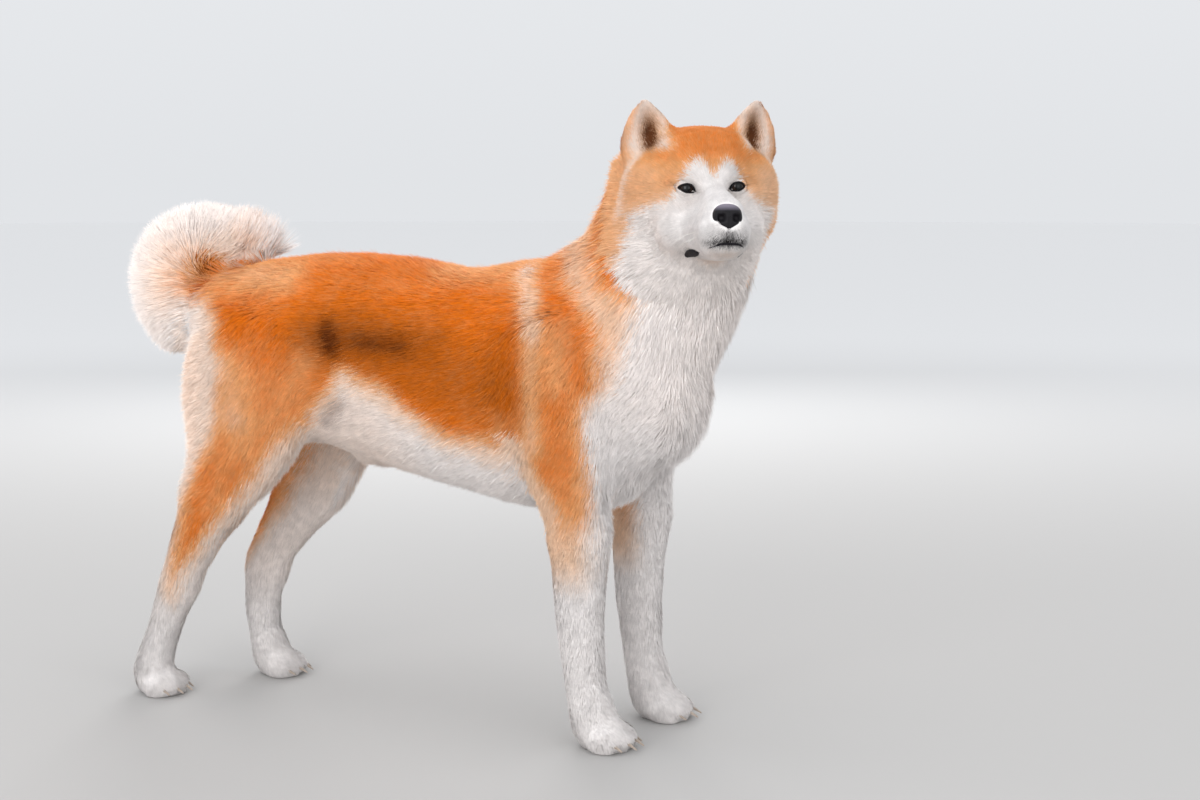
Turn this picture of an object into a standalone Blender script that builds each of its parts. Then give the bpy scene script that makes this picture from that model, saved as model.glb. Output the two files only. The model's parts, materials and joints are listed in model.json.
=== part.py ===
"""A standing Akita, life size with its coat, divided into its named body parts.

The flesh and coat are modelled whole from lofts and ellipsoids, fused into one skin, and then parted
with thin cuts. The ears, eyes, nose, claws and tail are solids of their own, set into that whole.
+X is the way the body faces, +Y is the dog's left and +Z is up. The paws stand on Z = 0.
"""

import math

import bmesh
import bpy
import numpy as np
from mathutils import Matrix, Vector

# ---------------------------------------------------------------- driving dimensions, in metres
WITHERS = 0.690  # top of the coat over the shoulders
CROUP = 0.688  # top of the coat over the hips
CHEST_HALF = 0.135
HIP_HALF = 0.112
FORE_TRACK = 0.085  # a fore paw's distance from the middle plane
HIND_TRACK = 0.088
LEFT_FORE_LEAD = 0.024  # how far the left fore leg stands ahead of the right
EYES_APART = 0.068
EYE_RADIUS = 0.0118
HEAD_TURN = math.radians(-59.0)
HEAD_LIFT = math.radians(1.0)
HEAD_ORIGIN = Vector((0.446, -0.070, 0.783))  # midway between the eyes

GAP = 0.0004  # air between neighbouring solids
VOXEL = 0.0052
BODY_TRIANGLES = 2600

UP = Vector((0, 0, 1))
SIDE = Vector((0, 1, 0))

COLOURS = {
    "red_coat": ((0.62, 0.22, 0.06), 0.85),
    "white_coat": ((0.86, 0.82, 0.78), 0.85),
    "cream_coat": ((0.80, 0.60, 0.44), 0.85),
    "nose_leather": ((0.015, 0.013, 0.014), 0.35),
    "eye": ((0.030, 0.014, 0.008), 0.08),
    "claw": ((0.10, 0.085, 0.075), 0.45),
}


# ---------------------------------------------------------------- scene and materials
def clear_scene():
    for obj in list(bpy.data.objects):
        bpy.data.objects.remove(obj)


def collection(name):
    made = bpy.data.collections.new(name)
    bpy.context.scene.collection.children.link(made)
    return made


def material(name):
    colour, roughness = COLOURS[name]
    made = bpy.data.materials.new(name)
    made.use_nodes = True
    shader = made.node_tree.nodes["Principled BSDF"]
    shader.inputs["Base Color"].default_value = (*colour, 1.0)
    shader.inputs["Roughness"].default_value = roughness
    made.diffuse_color = (*colour, 1.0)
    return made


# ---------------------------------------------------------------- shapes
def smooth_rows(rows, steps):
    """Rows of numbers with Catmull-Rom rows between them."""
    rows = np.array(rows, float)
    ends = np.vstack([2 * rows[0] - rows[1], rows, 2 * rows[-1] - rows[-2]])
    made = []
    for a, b, c, d in zip(ends, ends[1:], ends[2:], ends[3:]):
        for t in np.arange(steps) / steps:
            made.append(
                0.5 * (2 * b + (c - a) * t + (2 * a - 5 * b + 4 * c - d) * t**2 + (3 * b - a - 3 * c + d) * t**3)
            )
    made.append(rows[-1])
    return np.array(made)


def ring_of(bm, centre, depth_axis, width_axis, depth, width, square, sides):
    """One superelliptical section as a list of vertices."""
    found = []
    for k in range(sides):
        angle = 2 * math.pi * k / sides
        c, s = math.cos(angle), math.sin(angle)
        across = math.copysign(abs(c) ** (2 / square), c) * width
        along = math.copysign(abs(s) ** (2 / square), s) * depth
        found.append(bm.verts.new(centre + width_axis * across + depth_axis * along))
    return found


def loft(
    stations, side=SIDE, steps=4, sides=24, square=2.0, cap=0.6, grow=0.0, cap_rings=3, span=None
):
    """A closed bmesh through stations of (x, y, z, half depth, half width), with rounded ends.

    span takes one length of it, from one smoothed row to another, and an end inside the loft is flat.
    """
    rows = smooth_rows(stations, steps)
    centres = [Vector(row[:3]) for row in rows]
    final = len(rows) - 1
    first, last = span or (0, final)
    turns = [math.radians(72) * (n + 1) / cap_rings for n in range(cap_rings)]
    bm = bmesh.new()
    rings = []
    for k in range(first, last + 1):
        depth, width = rows[k][3] + grow, rows[k][4] + grow
        tangent = (centres[min(k + 1, final)] - centres[max(k - 1, 0)]).normalized()
        width_axis = (side - tangent * side.dot(tangent)).normalized()
        depth_axis = tangent.cross(width_axis)
        here = centres[k] + tangent * (GAP if k == first > 0 else 0.0)
        section = lambda ahead, share: ring_of(
            bm, here + tangent * ahead, depth_axis, width_axis, depth * share, width * share, square, sides
        )
        reach = cap * min(depth, width)
        if k == 0:
            rings += [section(-reach * math.sin(turn), math.cos(turn)) for turn in reversed(turns)]
        rings.append(section(0.0, 1.0))
        if k == final:
            rings += [section(reach * math.sin(turn), math.cos(turn)) for turn in turns]
    for one, other in zip(rings, rings[1:]):
        for k in range(sides):
            n = (k + 1) % sides
            bm.faces.new((one[k], one[n], other[n]))
            bm.faces.new((one[k], other[n], other[k]))
    bm.faces.new(reversed(rings[0]))
    bm.faces.new(rings[-1])
    bmesh.ops.recalc_face_normals(bm, faces=bm.faces)
    return bm


def ellipsoid(centre, radii, turn=None, grow=0.0, rings=14, segments=24):
    """A closed bmesh ball, squeezed to its three radii."""
    bm = bmesh.new()
    bmesh.ops.create_uvsphere(bm, u_segments=segments, v_segments=rings, radius=1.0)
    size = Matrix.Diagonal((*(r + grow for r in radii), 1.0))
    bm.transform(Matrix.Translation(centre) @ (turn or Matrix.Identity(4)) @ size)
    return bm


def block(centre, sizes, turn=None):
    """A closed bmesh box of full sizes, turned about its centre."""
    bm = bmesh.new()
    bmesh.ops.create_cube(bm, size=1.0)
    bm.transform(Matrix.Translation(centre) @ (turn or Matrix.Identity(4)) @ Matrix.Diagonal((*sizes, 1.0)))
    return bm


def half_space(point, normal, reach, depth, grow=0.0):
    """A box with one face centred on point and square to normal. It lies behind that face if depth is
    positive, and ahead of it if depth is negative. That face alone moves out by grow."""
    normal = Vector(normal).normalized()
    outward = normal if depth > 0 else -normal
    turn = normal.to_track_quat("Z", "Y").to_matrix().to_4x4()
    centre = Vector(point) + outward * (grow - abs(depth) / 2)
    return block(centre, (2 * reach, 2 * reach, abs(depth)), turn)


def object_from(bm, name, home):
    """A new object that holds this bmesh."""
    mesh = bpy.data.meshes.new(name)
    bm.to_mesh(mesh)
    bm.free()
    made = bpy.data.objects.new(name, mesh)
    home.objects.link(made)
    return made


def joined(shapes):
    """Several bmeshes as one, still overlapping."""
    whole = bmesh.new()
    for bm in shapes:
        mesh = bpy.data.meshes.new("part_of_union")
        bm.to_mesh(mesh)
        bm.free()
        whole.from_mesh(mesh)
        bpy.data.meshes.remove(mesh)
    return whole


def settle(obj):
    """Replaces an object's mesh with its modified one."""
    graph = bpy.context.evaluated_depsgraph_get()
    mesh = bpy.data.meshes.new_from_object(obj.evaluated_get(graph))
    obj.modifiers.clear()
    old = obj.data
    obj.data = mesh
    bpy.data.meshes.remove(old)
    mesh.name = obj.name


def boolean(obj, cutter, operation):
    modifier = obj.modifiers.new(operation.lower(), "BOOLEAN")
    modifier.operation = operation
    modifier.object = cutter
    modifier.solver = "EXACT"
    settle(obj)


# ---------------------------------------------------------------- frames
def head_matrix():
    """Places head coordinates (forward, left, up from between the eyes) in the body's frame."""
    turn = Matrix.Rotation(HEAD_TURN, 4, "Z") @ Matrix.Rotation(-HEAD_LIFT, 4, "Y")
    return Matrix.Translation(HEAD_ORIGIN) @ turn


HEAD = head_matrix()


def along_x(rows):
    """Loft stations from rows of (x, top, bottom, half width)."""
    return [(x, 0.0, (top + low) / 2, (top - low) / 2, half) for x, top, low, half in rows]


# ---------------------------------------------------------------- trunk and neck
TRUNK = along_x(
    [
        (-0.385, 0.600, 0.440, 0.062),
        (-0.345, 0.655, 0.405, 0.094),
        (-0.280, 0.674, 0.392, HIP_HALF),
        (-0.165, CROUP, 0.392, HIP_HALF + 0.004),
        (-0.060, 0.685, 0.368, 0.116),
        (0.050, 0.671, 0.342, 0.130),
        (0.150, 0.684, 0.320, CHEST_HALF),
        (0.240, WITHERS, 0.316, CHEST_HALF - 0.002),
        (0.320, 0.665, 0.340, 0.120),
        (0.380, 0.600, 0.390, 0.088),
    ]
)

NECK = [
    (0.235, 0.000, 0.518, 0.179, 0.118),
    (0.306, 0.000, 0.599, 0.147, 0.112),
    (0.354, 0.004, 0.670, 0.130, 0.099),
    (0.374, 0.012, 0.735, 0.126, 0.088),
    (0.378, 0.018, 0.785, 0.119, 0.080),
    (0.380, 0.022, 0.818, 0.110, 0.073),
]

SHOULDERS = ((0.255, 0.075, 0.480), (0.095, 0.062, 0.125))
SHEATH = ((-0.085, 0.0, 0.385), (0.060, 0.026, 0.026))


def mirrored(point, side):
    return Vector((point[0], point[1] * side, point[2]))


# ---------------------------------------------------------------- legs
def fore_leg(side, lead):
    """Stations from the shoulder blade down to the paw. side is 1 on the left."""
    y = FORE_TRACK
    rows = [
        (0.205, y + 0.000, 0.600, 0.060, 0.045),
        (0.232, y + 0.012, 0.520, 0.086, 0.050),
        (0.248, y + 0.014, 0.440, 0.080, 0.048),
        (0.254, y + 0.009, 0.370, 0.062, 0.043),
        (0.262, y + 0.004, 0.310, 0.050, 0.039),
        (0.261, y + 0.001, 0.250, 0.0425, 0.035),
        (0.261, y, 0.190, 0.038, 0.0325),
        (0.264, y, 0.140, 0.0345, 0.031),
        (0.268, y, 0.100, 0.032, 0.030),
        (0.276, y, 0.062, 0.033, 0.031),
        (0.284, y, 0.032, 0.036, 0.034),
    ]
    return [(x + lead, side * y, z, depth, width) for x, y, z, depth, width in rows]


def hind_leg_right():
    y = -HIND_TRACK
    return [
        (-0.258, y + 0.020, 0.600, 0.084, 0.050),
        (-0.270, y + 0.008, 0.520, 0.116, 0.056),
        (-0.282, y + 0.004, 0.445, 0.114, 0.056),
        (-0.301, y + 0.002, 0.385, 0.091, 0.051),
        (-0.332, y + 0.001, 0.325, 0.063, 0.044),
        (-0.361, y + 0.002, 0.270, 0.046, 0.037),
        (-0.386, y + 0.004, 0.222, 0.038, 0.032),
        (-0.403, y + 0.006, 0.185, 0.036, 0.030),
        (-0.424, y + 0.008, 0.140, 0.030, 0.028),
        (-0.443, y + 0.010, 0.095, 0.027, 0.027),
        (-0.459, y + 0.011, 0.055, 0.029, 0.029),
        (-0.464, y + 0.011, 0.030, 0.032, 0.031),
    ]


def hind_leg_left():
    y = HIND_TRACK
    return [
        (-0.240, y - 0.018, 0.600, 0.085, 0.050),
        (-0.245, y - 0.006, 0.520, 0.118, 0.055),
        (-0.245, y - 0.002, 0.445, 0.112, 0.055),
        (-0.248, y + 0.000, 0.385, 0.092, 0.050),
        (-0.267, y + 0.002, 0.325, 0.070, 0.044),
        (-0.302, y + 0.002, 0.270, 0.052, 0.037),
        (-0.335, y + 0.002, 0.222, 0.042, 0.032),
        (-0.354, y + 0.002, 0.182, 0.041, 0.030),
        (-0.366, y + 0.002, 0.135, 0.033, 0.028),
        (-0.366, y + 0.002, 0.090, 0.029, 0.027),
        (-0.358, y + 0.002, 0.052, 0.031, 0.029),
        (-0.352, y + 0.002, 0.030, 0.033, 0.031),
    ]


LEGS = {
    "fore_left": fore_leg(1, LEFT_FORE_LEAD),
    "fore_right": fore_leg(-1, 0.0),
    "hind_left": hind_leg_left(),
    "hind_right": hind_leg_right(),
}
PAW_SCALE = {"fore_left": 1.0, "fore_right": 1.0, "hind_left": 0.94, "hind_right": 0.94}
PAW_TURN = {
    "fore_left": math.radians(6),
    "fore_right": math.radians(-6),
    "hind_left": math.radians(5),
    "hind_right": math.radians(-5),
}
TOES = [(0.034, 0.0115), (0.034, -0.0115), (0.021, 0.0305), (0.021, -0.0305)]
TOE_RADII = (0.0245, 0.0135, 0.0190)
TOE_HEIGHT = 0.0165
PAW_BALL = ((0.004, 0.0, 0.024), (0.040, 0.036, 0.029))
PAW_AHEAD = 0.004  # how far the paw's middle stands ahead of the leg's foot
SOLE = 0.0  # the level that every paw's flat stands on


def paw_matrix(leg):
    """Places paw coordinates (toes forward, left, up from the floor) under a leg."""
    x, y = LEGS[leg][-1][:2]
    turn = Matrix.Rotation(PAW_TURN[leg], 4, "Z")
    return Matrix.Translation((x + PAW_AHEAD, y, SOLE)) @ turn @ Matrix.Scale(PAW_SCALE[leg], 4)


def paw_shapes(leg):
    """A paw's ball and its four arched toes, reaching a little below the sole."""
    place = paw_matrix(leg)
    ball = ellipsoid(*PAW_BALL)
    ball.transform(place)
    shapes = [ball]
    for forward, left in TOES:
        toe = ellipsoid((forward, left, TOE_HEIGHT), TOE_RADII)
        toe.transform(place)
        shapes.append(toe)
    return shapes


# ---------------------------------------------------------------- head
SKULL = along_x(
    [
        (-0.150, 0.050, -0.030, 0.052),
        (-0.120, 0.078, -0.040, 0.074),
        (-0.085, 0.087, -0.050, 0.083),
        (-0.052, 0.083, -0.050, 0.079),
        (-0.028, 0.068, -0.050, 0.066),
        (-0.010, 0.046, -0.045, 0.044),
        (0.004, 0.022, -0.040, 0.025),
    ]
)
FACE = along_x(
    [
        (-0.150, 0.056, -0.098, 0.082),
        (-0.120, 0.070, -0.116, 0.106),
        (-0.092, 0.074, -0.118, 0.114),
        (-0.064, 0.066, -0.114, 0.110),
        (-0.044, 0.050, -0.107, 0.099),
        (-0.030, 0.034, -0.100, 0.085),
    ]
)
BRIDGE = along_x(
    [
        (-0.020, 0.024, -0.060, 0.024),
        (0.004, 0.016, -0.060, 0.020),
        (0.030, 0.003, -0.062, 0.022),
        (0.060, -0.007, -0.062, 0.026),
        (0.084, -0.015, -0.062, 0.026),
        (0.096, -0.022, -0.060, 0.022),
    ]
)
MUZZLE = along_x(
    [
        (-0.020, -0.012, -0.102, 0.060),
        (0.004, -0.014, -0.100, 0.051),
        (0.030, -0.018, -0.098, 0.042),
        (0.060, -0.022, -0.096, 0.036),
        (0.084, -0.027, -0.093, 0.032),
        (0.097, -0.036, -0.087, 0.026),
    ]
)
BROW = ((-0.016, 0.036, 0.022), (0.021, 0.022, 0.015))
THROAT = ((-0.055, 0.0, -0.082), (0.076, 0.060, 0.042))
CHEEK = ((-0.020, 0.048, -0.054), (0.044, 0.030, 0.038))

EYE = (-0.0095, EYES_APART / 2, 0.0)
NOSE_TIP = (0.0960, 0.0, -0.0385)
MOUTH_CORNER = (0.045, 0.0, -0.0885)
MOUTH_RISE = math.radians(19)
JAW_LENGTH = 0.080
JAW_DEPTH = 0.050


def head_shapes():
    shapes = [loft(rows, square=2.5) for rows in (SKULL, BRIDGE, MUZZLE)]
    shapes.append(loft(FACE, square=2.7, cap=0.4))
    shapes.append(ellipsoid(*THROAT))
    for centre, radii in (BROW, CHEEK):
        shapes += [ellipsoid(mirrored(centre, side), radii) for side in (1, -1)]
    for bm in shapes:
        bm.transform(HEAD)
    return shapes


def jaw_cell(grow):
    """A block below the line of the mouth, from its corner forward."""
    bm = block((JAW_LENGTH / 2, 0, -JAW_DEPTH / 2), (JAW_LENGTH + 2 * grow, 0.16, JAW_DEPTH + 2 * grow))
    bm.transform(HEAD @ Matrix.Translation(MOUTH_CORNER) @ Matrix.Rotation(-MOUTH_RISE, 4, "Y"))
    return bm


def eye(side, grow=0.0):
    bm = ellipsoid(mirrored(EYE, side), (EYE_RADIUS,) * 3, grow=grow, rings=7, segments=10)
    bm.transform(HEAD)
    return bm


def nose(grow=0.0):
    """The leather: a broad rounded pad that narrows below the nostrils."""
    rows = [
        (-0.014, 0.0, 0.000, 0.0155, 0.0170),
        (-0.004, 0.0, 0.001, 0.0175, 0.0190),
        (0.005, 0.0, 0.000, 0.0165, 0.0185),
        (0.011, 0.0, -0.001, 0.0125, 0.0145),
    ]
    bm = loft(rows, steps=1, sides=12, square=2.3, cap=0.35, grow=grow, cap_rings=2)
    bm.transform(HEAD @ Matrix.Translation(NOSE_TIP))
    return bm


EAR_BASE = (-0.074, 0.068, 0.051)
EAR_SPREAD = math.radians(12)
EAR_LEAN = math.radians(6)
EAR_FACE = math.radians(20)
EAR = [  # height, half width, half thickness
    (-0.020, 0.044, 0.022),
    (0.000, 0.044, 0.022),
    (0.018, 0.0405, 0.019),
    (0.034, 0.034, 0.016),
    (0.048, 0.0255, 0.012),
    (0.061, 0.0165, 0.009),
    (0.070, 0.0095, 0.006),
]


def ear_matrix(side):
    """Places ear coordinates (thickness forward, width left, height up) on the skull."""
    lean = Matrix.Rotation(EAR_LEAN, 4, "Y") @ Matrix.Rotation(-side * EAR_SPREAD, 4, "X")
    turn = Matrix.Rotation(side * EAR_FACE, 4, "Z")
    return HEAD @ Matrix.Translation(mirrored(EAR_BASE, side)) @ lean @ turn


def ear(side, grow=0.0):
    """A thick upright triangle with a rounded tip and a hollow front."""
    rows = [(0.0, 0.0, height, depth, width) for height, width, depth in EAR]
    bm = loft(rows, steps=1, sides=14, square=2.1, cap=0.8, grow=grow, cap_rings=2)
    for vertex in bm.verts:
        vertex.co.x -= ear_hollow(vertex.co) * (1 if vertex.co.x > 0 else 0)
    bm.transform(ear_matrix(side))
    return bm


def ear_hollow(point):
    """How far the front of the ear is pressed in here, so that its rim stands round the opening."""
    share = max(0.0, 1 - abs((point.z - 0.030) / 0.036) ** 2)
    across = max(0.0, 1 - (point.y / (0.036 - 0.38 * max(point.z, 0.0))) ** 2)
    return 0.015 * across * share


# ---------------------------------------------------------------- tail
TAIL = [
    (-0.335, 0.000, 0.612, 0.050, 0.044),
    (-0.385, 0.000, 0.589, 0.067, 0.050),
    (-0.434, 0.002, 0.591, 0.075, 0.056),
    (-0.465, 0.008, 0.636, 0.069, 0.060),
    (-0.457, 0.018, 0.682, 0.059, 0.060),
    (-0.418, 0.030, 0.704, 0.055, 0.058),
    (-0.374, 0.044, 0.697, 0.049, 0.050),
    (-0.342, 0.056, 0.686, 0.038, 0.040),
    (-0.320, 0.062, 0.684, 0.022, 0.024),
]
TAIL_STEPS = 2
TAIL_PIECES = {"tail_base": (0, 3), "tail_middle": (3, 5), "tail_tip": (5, 8)}  # by station


def tail(grow=0.0, pieces=None):
    """The whole tail, or the length between two stations."""
    span = [station * TAIL_STEPS for station in pieces] if pieces else None
    return loft(TAIL, steps=TAIL_STEPS, sides=14, cap=0.7, grow=grow, cap_rings=2, span=span)


# ---------------------------------------------------------------- claws
CLAW_LENGTH = 0.019
CLAW_RADIUS = 0.0036
CLAW_ROOT = (0.014, 0.0150)  # how far ahead of its toe and how high it starts
CLAW_DROP = 0.0080
CLAW_TAPER = 0.70


def claw(leg, toe, grow=0.0):
    """A short curved nail that leaves a toe near the floor."""
    forward, left = toe
    ahead, height = CLAW_ROOT
    rows = []
    for share in (0.0, 0.5, 1.0):
        radius = CLAW_RADIUS * (1 - CLAW_TAPER * share)
        x = forward + ahead + CLAW_LENGTH * share
        rows.append((x, left, height - CLAW_DROP * share**1.6, radius, radius * 0.8))
    bm = loft(rows, steps=1, sides=5, cap=0.6, grow=grow, cap_rings=1)
    bm.transform(paw_matrix(leg))
    return bm


# ---------------------------------------------------------------- making the whole
def whole_body(home):
    """The flesh and coat as one closed mesh, before it is parted."""
    shapes = [loft(TRUNK, square=2.2, cap=0.5), loft(NECK, cap=0.3)]
    shapes.append(ellipsoid(*SHEATH))
    centre, radii = SHOULDERS
    shapes += [ellipsoid(mirrored(centre, side), radii) for side in (1, -1)]
    shapes += [loft(stations, cap=0.4) for stations in LEGS.values()]
    for leg in LEGS:
        shapes += paw_shapes(leg)
    shapes += head_shapes()
    whole = object_from(joined(shapes), "whole", home)
    remesh = whole.modifiers.new("fuse", "REMESH")
    remesh.mode = "VOXEL"
    remesh.voxel_size = VOXEL
    settle(whole)
    return whole


# Vertices away from the face and paws are smoothed more, so that the lofts run into each other.
SMOOTHING = (("all_over", 7), ("body_only", 12))
FACE_CENTRE = (0.03, 0.0, -0.02)  # in head coordinates


def smooth_whole(whole):
    group = whole.vertex_groups.new(name="body_only")
    face = HEAD @ Vector(FACE_CENTRE)
    for vertex in whole.data.vertices:
        from_face = (vertex.co - face).length
        weight = min(1.0, max(0.0, (from_face - 0.10) / 0.06)) * min(1.0, max(0.0, (vertex.co.z - 0.06) / 0.08))
        group.add([vertex.index], weight, "REPLACE")
    for name, rounds in SMOOTHING:
        modifier = whole.modifiers.new(name, "SMOOTH")
        modifier.factor = 0.5
        modifier.iterations = rounds
        if name == "body_only":
            modifier.vertex_group = "body_only"
    settle(whole)
    whole.vertex_groups.clear()


SOCKET = ((0.002, 0.033, -0.001), (0.022, 0.017, 0.012), (-0.0065, 0, 0))  # centre, reach, push
STOP = ((0.012, 0.0, 0.016), (0.022, 0.012, 0.016), (-0.003, 0, 0))
FURROW = ((0.0, 0.0, 0.052), (0.030, 0.008, 0.030), (-0.002, 0, -0.001))


def press(mesh, centre, radii, push):
    """Moves vertices near centre by push, fading out over the radii. All are in head coordinates."""
    inverse = HEAD.inverted()
    turn = HEAD.to_3x3()
    for vertex in mesh.vertices:
        local = inverse @ vertex.co
        away = sum(((local[k] - centre[k]) / radii[k]) ** 2 for k in range(3))
        if away < 6:
            vertex.co += turn @ Vector(push) * math.exp(-away)


def carve_face(whole):
    """The sockets, the stop and the furrow between the brows."""
    centre, reach, push = SOCKET
    for side in (1, -1):
        press(whole.data, mirrored(centre, side), reach, push)
    press(whole.data, *STOP)
    press(whole.data, *FURROW)


def lighten(whole):
    """Reduces the fused mesh to its share of triangles. It keeps the most where the form is tightest."""
    whole.data.calc_loop_triangles()
    modifier = whole.modifiers.new("lighten", "DECIMATE")
    modifier.ratio = BODY_TRIANGLES / len(whole.data.loop_triangles)
    modifier.use_collapse_triangulate = True
    settle(whole)


# ---------------------------------------------------------------- parting
def cutter(bm, name, home):
    made = object_from(bm, name, home)
    made.hide_render = True
    made.display_type = "WIRE"
    return made


def drop_crumbs(obj):
    """Keeps only the largest loose part, as a thin cut can leave a sliver beside a rim."""
    bm = bmesh.new()
    bm.from_mesh(obj.data)
    unseen = set(bm.verts)
    parts = []
    while unseen:
        part, edge_of_part = set(), [unseen.pop()]
        while edge_of_part:
            vertex = edge_of_part.pop()
            part.add(vertex)
            for edge in vertex.link_edges:
                other = edge.other_vert(vertex)
                if other in unseen:
                    unseen.remove(other)
                    edge_of_part.append(other)
        parts.append(part)
    parts.sort(key=len)
    crumbs = [vertex for part in parts[:-1] for vertex in part]
    bmesh.ops.delete(bm, geom=crumbs, context="VERTS")
    bm.to_mesh(obj.data)
    bm.free()


def finish(piece, slot):
    drop_crumbs(piece)
    piece.data.materials.clear()
    piece.data.materials.append(bpy.data.materials[slot])


class Body:
    """The whole that is left, with the pieces parted from it."""

    def __init__(self, whole, home, tools):
        self.rest = whole
        self.home = home
        self.tools = tools

    def set_in(self, name, shape, slot):
        """Makes a shape its own node and clears room for it. shape(grow) gives its bmesh."""
        piece = object_from(shape(0.0), name, self.home)
        boolean(self.rest, cutter(shape(GAP), name + "_room", self.tools), "DIFFERENCE")
        finish(piece, slot)
        return piece

    def part_off(self, name, cell, slot, source=None):
        """Takes what lies in a cell off the rest as its own node, with a thin cut between them."""
        source = source or self.rest
        inner = cutter(cell(0.0), name + "_cell", self.tools)
        outer = cutter(cell(GAP), name + "_cut", self.tools)
        piece = source.copy()
        piece.data = source.data.copy()
        piece.name = name
        self.home.objects.link(piece)
        boolean(piece, inner, "INTERSECT")
        boolean(source, outer, "DIFFERENCE")
        finish(piece, slot)
        drop_crumbs(source)
        return piece


def below(stations, index, reach, depth):
    """A cell below a station of a leg, square to the leg there."""
    here, above = Vector(stations[index][:3]), Vector(stations[index - 1][:3])
    return lambda grow: half_space(here, above - here, reach, depth, grow)


def limb_cell(stations, count, out=0.034, inward=0.010, spread=0.004):
    """A cell round the top of a leg: the leg's own loft, widened on its outer side past the skin."""
    rows = []
    for x, y, z, depth, width in stations[:count]:
        side = 1 if y > 0 else -1
        rows.append((x, y + side * (out - inward), z, depth + spread, width + out + inward))
    return lambda grow: loft(rows, steps=1, sides=10, cap=0.4, grow=grow, cap_rings=1)


LEG_CUTS = {  # node, station that it lies below; the piece above the last is the top of the limb
    "fore": (("paw", 9), ("forearm", 4)),
    "hind": (("paw", 10), ("hock", 7), ("lower_thigh", 4)),
}
LIMB_TOPS = {"fore": ("upper_arm", 6), "hind": ("thigh", 7)}
LEG_REACH, LEG_BELOW = 0.078, 0.30  # how far a leg's cell reaches round it and below its cut
HEAD_CUT = ((-0.098, 0.0, -0.030), (0.80, 0.0, 0.60))  # a point and the way forward, in head coordinates
NECK_CUT = ((0.300, 0.0, 0.590), (0.74, 0.0, 0.67))
TRUNK_CUTS = (("rump", (-0.215, 0.0, 0.53), (-1.0, 0.0, 0.0)), ("loin", (-0.010, 0.0, 0.53), (-1.0, 0.0, 0.0)))


def part_legs(body):
    for leg, stations in LEGS.items():
        kind = leg.split("_")[0]
        for name, index in LEG_CUTS[kind]:
            body.part_off(f"{leg}_{name}", below(stations, index, LEG_REACH, LEG_BELOW), "white_coat")
        name, count = LIMB_TOPS[kind]
        body.part_off(f"{leg}_{name}", limb_cell(stations, count), "red_coat")


def part_trunk(body):
    point, forward = (Vector(value) for value in HEAD_CUT)
    turn = HEAD.to_3x3()
    body.part_off("head", lambda grow: half_space(HEAD @ point, turn @ forward, 0.2, -0.5, grow), "red_coat")
    body.part_off("neck", lambda grow: half_space(*NECK_CUT, 0.3, -0.5, grow), "red_coat")
    for name, point, backward in TRUNK_CUTS:
        body.part_off(name, lambda grow, at=point, way=backward: half_space(at, way, 0.4, -0.5, grow), "red_coat")
    body.rest.name = "chest"
    body.home.objects.link(body.rest)
    body.tools.objects.unlink(body.rest)
    finish(body.rest, "red_coat")


def set_in_tail(body):
    boolean(body.rest, cutter(tail(GAP), "tail_room", body.tools), "DIFFERENCE")
    for name, pieces in TAIL_PIECES.items():
        finish(object_from(tail(pieces=pieces), name, body.home), "cream_coat")


def settle_on_origin(home):
    """Moves every node, so that the origin is the middle of the bottom of the dog's box."""
    points = [corner for obj in home.objects for corner in (Vector(c) for c in obj.bound_box)]
    low = Vector(min(point[k] for point in points) for k in range(3))
    high = Vector(max(point[k] for point in points) for k in range(3))
    shift = Matrix.Translation((-(low.x + high.x) / 2, -(low.y + high.y) / 2, -low.z))
    for obj in home.objects:
        obj.data.transform(shift)


def main():
    clear_scene()
    home, tools = collection("akita"), collection("cutters")
    for name in COLOURS:
        material(name)
    whole = whole_body(tools)
    smooth_whole(whole)
    carve_face(whole)
    lighten(whole)
    floor = cutter(block((0, 0, SOLE - 0.05), (2, 2, 0.1)), "floor_cut", tools)
    boolean(whole, floor, "DIFFERENCE")

    body = Body(whole, home, tools)
    set_in_tail(body)
    for name, side in (("left", 1), ("right", -1)):
        body.set_in(f"eye_{name}", lambda grow, side=side: eye(side, grow), "eye")
        body.set_in(f"ear_{name}", lambda grow, side=side: ear(side, grow), "cream_coat")
    body.set_in("nose", nose, "nose_leather")
    for leg in LEGS:
        for k, toe in enumerate(TOES):
            body.set_in(f"{leg}_claw_{k + 1}", lambda grow, leg=leg, toe=toe: claw(leg, toe, grow), "claw")
    body.part_off("lower_jaw", jaw_cell, "white_coat")
    part_legs(body)
    part_trunk(body)
    settle_on_origin(home)


main()
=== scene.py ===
"""A standing red-and-white Akita in full coat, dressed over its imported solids.

The flesh is one skin, which lies inside the solids by the depth of the coat. The coat stands on
it as solid tufts that follow the lie of the hair and end where the solids end. Eyes, lids, nose,
lips and claws are pieces of their own. +X is the way the body faces, +Y is the dog's left and +Z
is up.
"""

from __future__ import annotations

import json
import logging
import math
from dataclasses import dataclass, field
from enum import Enum
from typing import Callable

import bmesh
import bpy
import numpy as np
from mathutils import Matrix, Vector
from mathutils.bvhtree import BVHTree
from mathutils.kdtree import KDTree

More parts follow.
